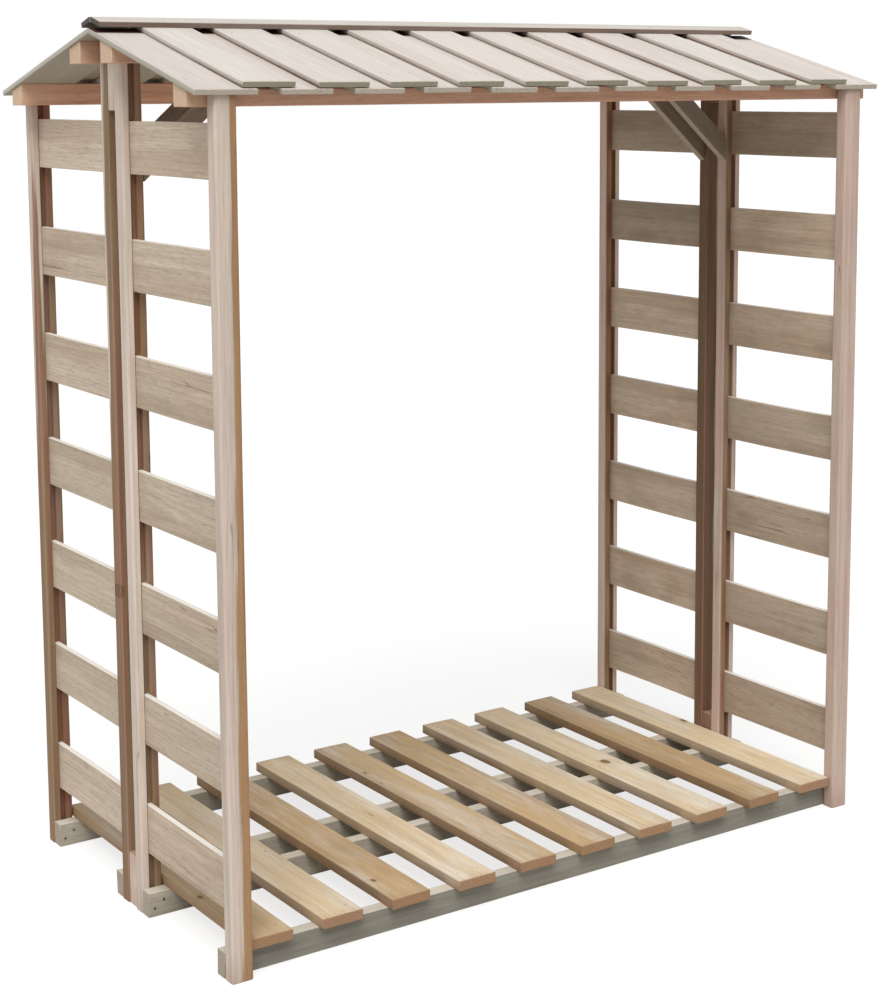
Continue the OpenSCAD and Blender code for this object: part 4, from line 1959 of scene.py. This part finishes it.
@dataclass
class Studio:
    """Floor, light, white surround and camera.

    Attributes:
        eye: Place of the camera, in metres.
        yaw: Turn of the camera about the vertical, in degrees.
        pitch: Tilt of the camera, in degrees.
        roll: Turn of the camera about its axis, in degrees.
        focal: Focal length in pixels of the photograph.
        centre: Place of the camera's axis in the photograph, in pixels.
        sun: Direction towards the lamp.
        sun_level: Light that the lamp gives a surface that faces it, 1 for full white.
        sun_angle: Breadth of the lamp, in degrees.
        sun_colour: Colour of the lamp.
        sky_level: Light of the even surround.
        floor_half: Half the width of the floor, in metres.
        floor_drop: Distance of the floor under the store, in metres.
        floor_glow: Share of the floor's white in the picture that takes no shadow.
        floor_shown: Grey of the floor in the picture, which takes the shadow.
        floor_plain: Colour of the floor in the light that it throws back.
        sensor: Width of the camera's sensor, in millimetres.
        sight: Farthest distance that the camera sees, in metres.
    """

    eye: Triple = (-2.354, -3.434, 1.631)
    yaw: float = -33.87
    pitch: float = -7.39
    roll: float = -0.39
    focal: float = 1938.0
    centre: tuple[float, float] = (434.0, 338.0)
    sun: Triple = (-0.34, -0.42, 0.84)
    sun_level: float = 0.72
    sun_angle: float = 38.0
    sun_colour: Colour = (1.0, 0.985, 0.96)
    sky_level: float = 0.53
    floor_half: float = 60.0
    floor_drop: float = 0.0005
    floor_glow: float = 0.76
    floor_shown: Colour = (0.28, 0.28, 0.28)
    floor_plain: Colour = (0.5, 0.49, 0.47)
    sensor: float = 36.0
    sight: float = 200.0

    def build(self) -> None:
        """Make the stage, the lamps and the camera."""
        bpy.context.scene.view_settings.view_transform = "Standard"
        self._floor()
        self._sky()
        self._lamp()
        self._camera()

    @staticmethod
    def _seen(bench: Bench) -> Signal:
        """Tell the rays that show the surround in the picture, in gloss or through glass.

        Args:
            bench: Bench of the floor or the surround.

        Returns:
            1 for those rays, 0 for others.
        """
        path = bench.node("ShaderNodeLightPath").outputs
        camera, gloss, glass = (
            Signal(bench, path[f"Is {kind} Ray"]) for kind in ("Camera", "Glossy", "Transmission")
        )
        return bench.most(bench.most(camera, gloss), glass)

    def _floor(self) -> None:
        """Wide pale floor that shows white and keeps a soft shadow."""
        mesh = bpy.data.meshes.new("studio_floor")
        size, level = self.floor_half, -self.floor_drop
        corners = [(x * size, y * size, level) for x, y in ((-1, -1), (1, -1), (1, 1), (-1, 1))]
        mesh.from_pydata(corners, [], [(0, 1, 2, 3)])
        floor = linked("studio_floor", mesh)
        material = bpy.data.materials.new("studio_floor")
        material.use_nodes = True
        bench = Bench(material.node_tree)
        glow = bench.node("ShaderNodeEmission", None, {"Color": (1.0, 1.0, 1.0), "Strength": self.floor_glow})
        grey = bench.node("ShaderNodeBsdfDiffuse", None, {"Color": self.floor_shown})
        shown = bench.node("ShaderNodeAddShader", None, {0: glow.outputs[0], 1: grey.outputs[0]})
        plain = bench.node("ShaderNodeBsdfDiffuse", None, {"Color": self.floor_plain})
        mixed = bench.node(
            "ShaderNodeMixShader", None, {0: self._seen(bench), 1: plain.outputs[0], 2: shown.outputs[0]}
        )
        bench.node("ShaderNodeOutputMaterial", None, {"Surface": mixed.outputs[0]})
        mesh.materials.append(material)

    def _sky(self) -> None:
        """Even white surround that shows as plain white."""
        world = bpy.data.worlds.new("studio_sky")
        bpy.context.scene.world = world
        world.use_nodes = True
        bench = Bench(world.node_tree)
        level = self.sky_level + (1.0 - self.sky_level) * self._seen(bench)
        light = bench.node("ShaderNodeBackground", None, {"Color": (1.0, 1.0, 1.0), "Strength": level})
        bench.node("ShaderNodeOutputWorld", None, {"Surface": light.outputs[0]})

    def _lamp(self) -> None:
        """One broad soft lamp above the front left."""
        data = bpy.data.lights.new("studio_lamp", "SUN")
        data.energy = self.sun_level * math.pi
        data.angle = math.radians(self.sun_angle)
        data.color = self.sun_colour
        lamp = linked("studio_lamp", data)
        lamp.rotation_mode = "QUATERNION"
        lamp.rotation_quaternion = (-Vector(self.sun)).to_track_quat("-Z", "Y")

    def _camera(self) -> None:
        """Camera at the photograph's viewpoint."""
        yaw, pitch, roll = (math.radians(value) for value in (self.yaw, self.pitch, self.roll))
        forward = Vector((-math.sin(yaw) * math.cos(pitch), math.cos(yaw) * math.cos(pitch), math.sin(pitch)))
        level = Vector((math.cos(yaw), math.sin(yaw), 0.0))
        upright = level.cross(forward)
        right = level * math.cos(roll) + upright * math.sin(roll)
        up = upright * math.cos(roll) - level * math.sin(roll)
        data = bpy.data.cameras.new("studio_camera")
        data.sensor_width = self.sensor
        data.lens = self.focal * self.sensor / IMAGE_HEIGHT
        data.shift_x = (IMAGE_WIDTH / 2 - self.centre[0]) / IMAGE_HEIGHT
        data.shift_y = (self.centre[1] - IMAGE_HEIGHT / 2) / IMAGE_HEIGHT
        data.clip_end = self.sight
        camera = linked("studio_camera", data)
        turn = Matrix((right, up, -forward)).transposed().to_4x4()
        camera.matrix_world = Matrix.Translation(Vector(self.eye)) @ turn
        bpy.context.scene.camera = camera


# The posts' faces towards the bays and their grooves carry painted shade in the heartwood colours.
POST_TIMBER = TimberFinish(
    name="sawn_post_timber", slot="post_timber",
    early=(0.685, 0.6, 0.535), late=(0.55, 0.43, 0.35), warm=(0.6, 0.43, 0.36), heart=(0.25, 0.158, 0.082),
    patina=(0.63, 0.585, 0.48), end=(0.5, 0.34, 0.24), under=(0.42, 0.34, 0.26), grime=(0.36, 0.22, 0.16),
    heart_red=(0.26, 0.115, 0.072), amber=(0.47, 0.27, 0.12),
    ring_gap=0.0042, ring_depth=0.4, streak_depth=0.55, fleck_depth=0.08, heart_share=0.95, knot_share=0.025,
    warm_spread=0.85, patina_share=0.4, bay_shade_share=0.98, grime_share=0.35, grime_reach=0.07, tone_spread=0.3,
)
SLAT_TIMBER = TimberFinish(
    name="sawn_slat_timber", slot="slat_timber",
    early=(0.68, 0.575, 0.46), late=(0.5, 0.4, 0.295), warm=(0.55, 0.43, 0.325), heart=(0.345, 0.25, 0.168),
    patina=(0.585, 0.51, 0.41), end=(0.48, 0.37, 0.26), under=(0.4, 0.33, 0.24), grime=(0.43, 0.37, 0.275),
    # The slats' upper faces lean almost white: painted light from above.
    top_light=(0.86, 0.83, 0.78), top_light_share=0.85,
    ring_gap=0.0056, ring_depth=0.6, fleck_depth=0.36, knot_share=0.01, heart_share=0.3, patina_share=0.5,
    stain_share=0.6, warm_spread=0.9, tone_spread=0.25,
)
JOIST_TIMBER = TimberFinish(
    name="sawn_joist_timber", slot="joist_timber",
    early=(0.275, 0.264, 0.224), late=(0.184, 0.173, 0.137), warm=(0.6, 0.54, 0.45), heart=(0.24, 0.2, 0.14),
    patina=(0.247, 0.24, 0.206), end=(0.6, 0.52, 0.43), under=(0.3, 0.27, 0.22), grime=(0.3, 0.26, 0.2),
    edge=(0.66, 0.61, 0.52), edge_share=0.9,
    ring_gap=0.005, ring_depth=0.5, heart_share=0.3, patina_share=0.3, warm_spread=0.95, tone_spread=0.06,
)
FLOOR_TIMBER = TimberFinish(
    name="sawn_floor_timber", slot="floor_timber",
    early=(0.69, 0.565, 0.385), late=(0.52, 0.375, 0.215), warm=(0.53, 0.36, 0.19), heart=(0.38, 0.25, 0.13),
    patina=(0.7, 0.65, 0.56), end=(0.36, 0.185, 0.1), under=(0.4, 0.28, 0.17), grime=(0.43, 0.28, 0.16),
    # Dark brown narrow sides, darkest at their foot: painted shade in the gaps between the floor slats.
    edge=(0.27, 0.155, 0.08), edge_share=0.8, side_shade_fade=0.35,
    ring_gap=0.0062, ring_depth=0.4, streak_depth=0.36, fleck_depth=0.16, knot_share=0.035, heart_share=0.45,
    patina_share=0.7, stain_share=0.45, tone_spread=0.13, warm_spread=0.85, relief=0.25, saw_marks=0.05,
    grime_share=0.3, grime_reach=0.035,
)
PURLIN_TIMBER = TimberFinish(
    name="sawn_purlin_timber", slot="purlin_timber",
    early=(0.7, 0.41, 0.285), late=(0.51, 0.26, 0.17), warm=(0.65, 0.34, 0.24), heart=(0.38, 0.178, 0.115),
    patina=(0.62, 0.405, 0.305), end=(0.84, 0.64, 0.49), under=(0.46, 0.27, 0.19), grime=(0.74, 0.53, 0.36),
    ring_gap=0.005, ring_depth=0.5, knot_share=0.03, heart_share=0.3, patina_share=0.35, grime_share=0.6,
    grime_reach=0.075, tone_spread=0.3,
)
# Dark throughout: painted shade for the shade under the roof that the braces stand in; their undersides lean
# paler, painted light.
BRACE_TIMBER = TimberFinish(
    name="sawn_brace_timber", slot="brace_timber",
    early=(0.31, 0.24, 0.185), late=(0.19, 0.135, 0.095), warm=(0.29, 0.21, 0.15), heart=(0.17, 0.115, 0.075),
    patina=(0.28, 0.24, 0.19), end=(0.34, 0.26, 0.18), under=(0.52, 0.45, 0.36), grime=(0.2, 0.15, 0.1),
    ring_gap=0.0045, ring_depth=0.5, heart_share=0.4, patina_share=0.4, underside_shading_share=0.9, wear=0.3,
)
# Lower roof boards: narrow sides darker towards their foot, painted shade where the upper boards lap them.
LOWER_ROOF_TIMBER = TimberFinish(
    name="sawn_lower_roof_timber", slot="roof_timber",
    early=(0.65, 0.608, 0.568), late=(0.58, 0.525, 0.473), warm=(0.63, 0.56, 0.525), heart=(0.44, 0.37, 0.3),
    # under: olive painted shade on the undersides of the roof boards.
    patina=(0.61, 0.585, 0.535), end=(0.6, 0.53, 0.45), under=(0.36, 0.31, 0.19), grime=(0.5, 0.44, 0.35),
    # Near-black painted shadow of the ridge cap on the lower boards, over their first 44 mm from the ridge.
    edge=(0.4, 0.39, 0.32), edge_share=0.8, side_shade_fade=0.6, cap_shadow_reach=0.044,
    ring_gap=0.006, ring_depth=0.22, streak_depth=0.18, fleck_depth=0.08, crack_depth=0.25, knot_share=0.015,
    heart_share=0.2, patina_share=0.4, underside_shading_share=0.65, grime_share=0.3, grime_reach=0.02, tone_spread=0.05,
)
UPPER_ROOF_TIMBER = replace(
    LOWER_ROOF_TIMBER, name="sawn_upper_roof_timber", end=(0.26, 0.245, 0.175), grime=(0.5, 0.46, 0.35),
    # Dark brown narrow sides, partly the sides' own brown and partly painted shadow, darkest at their foot in
    # the steps of the roof.
    edge=(0.17, 0.1, 0.075), edge_share=0.95, side_shade_fade=0.86, cap_shadow_reach=0.0, grime_share=0.25,
)
RIDGE_TIMBER = TimberFinish(
    name="sawn_ridge_timber", slot="ridge_timber",
    early=(0.61, 0.58, 0.535), late=(0.5, 0.455, 0.4), warm=(0.58, 0.53, 0.48), heart=(0.34, 0.26, 0.21),
    # Near-black ends and dark undersides: painted shadow of the hollow under the V of the cap.
    patina=(0.57, 0.56, 0.51), end=(0.05, 0.043, 0.037), under=(0.12, 0.09, 0.075), grime=(0.4, 0.36, 0.31),
    edge=(0.2, 0.13, 0.105), edge_share=0.75,
    ring_gap=0.0055, ring_depth=0.4, streak_depth=0.25, fleck_depth=0.12, heart_share=0.3, patina_share=0.5,
    underside_shading_share=0.8, grime_share=0.0, tone_spread=0.04,
)
NAIL_STEEL = SteelFinish(name="nail_steel", bright=(0.56, 0.55, 0.53), dull=(0.34, 0.31, 0.28))
FLOOR_STEEL = SteelFinish(
    name="floor_nail_steel", bright=(0.5, 0.43, 0.34), dull=(0.32, 0.24, 0.17), metallic=0.55
)
SCREW_STEEL = SteelFinish(
    name="screw_steel", bright=(0.16, 0.14, 0.12), dull=(0.05, 0.045, 0.04), metallic=0.6
)


def main() -> None:
    """Build the stage and every sub-assembly of the store."""
    logging.basicConfig(level=logging.INFO, format="%(name)s: %(message)s")
    Studio().build()
    groups: list[SubAssembly] = [
        Posts.listed(POST_TIMBER),
        SideSlats.listed(SLAT_TIMBER),
        Joists.listed(JOIST_TIMBER),
        FloorSlats.listed(FLOOR_TIMBER),
        Purlins.listed(PURLIN_TIMBER),
        KneeBraces.listed(BRACE_TIMBER),
        LowerRoof.listed(LOWER_ROOF_TIMBER),
        UpperRoof.listed(UPPER_ROOF_TIMBER),
        RidgeBoards.listed(RIDGE_TIMBER),
    ]
    for group in groups:
        pieces = group.build()
        log.info("%s: %d pieces", type(group).__name__, len(pieces))
    plan = FixingPlan(groups)
    for fixings in (
        Fixings(
            "roof_nails", Head.NAIL, NAIL_STEEL, plan.roof_nails(), radius=0.003, rise=0.0005, seed=11
        ),
        Fixings(
            "floor_nails", Head.NAIL, FLOOR_STEEL, plan.floor_nails(), radius=0.0028, rise=0.0004, seed=12
        ),
        Fixings(
            "frame_screws", Head.SCREW, SCREW_STEEL, plan.frame_screws(), radius=0.0038, rise=0.0006, seed=13
        ),
    ):
        fixings.build()


if __name__ == "__main__":
    main()
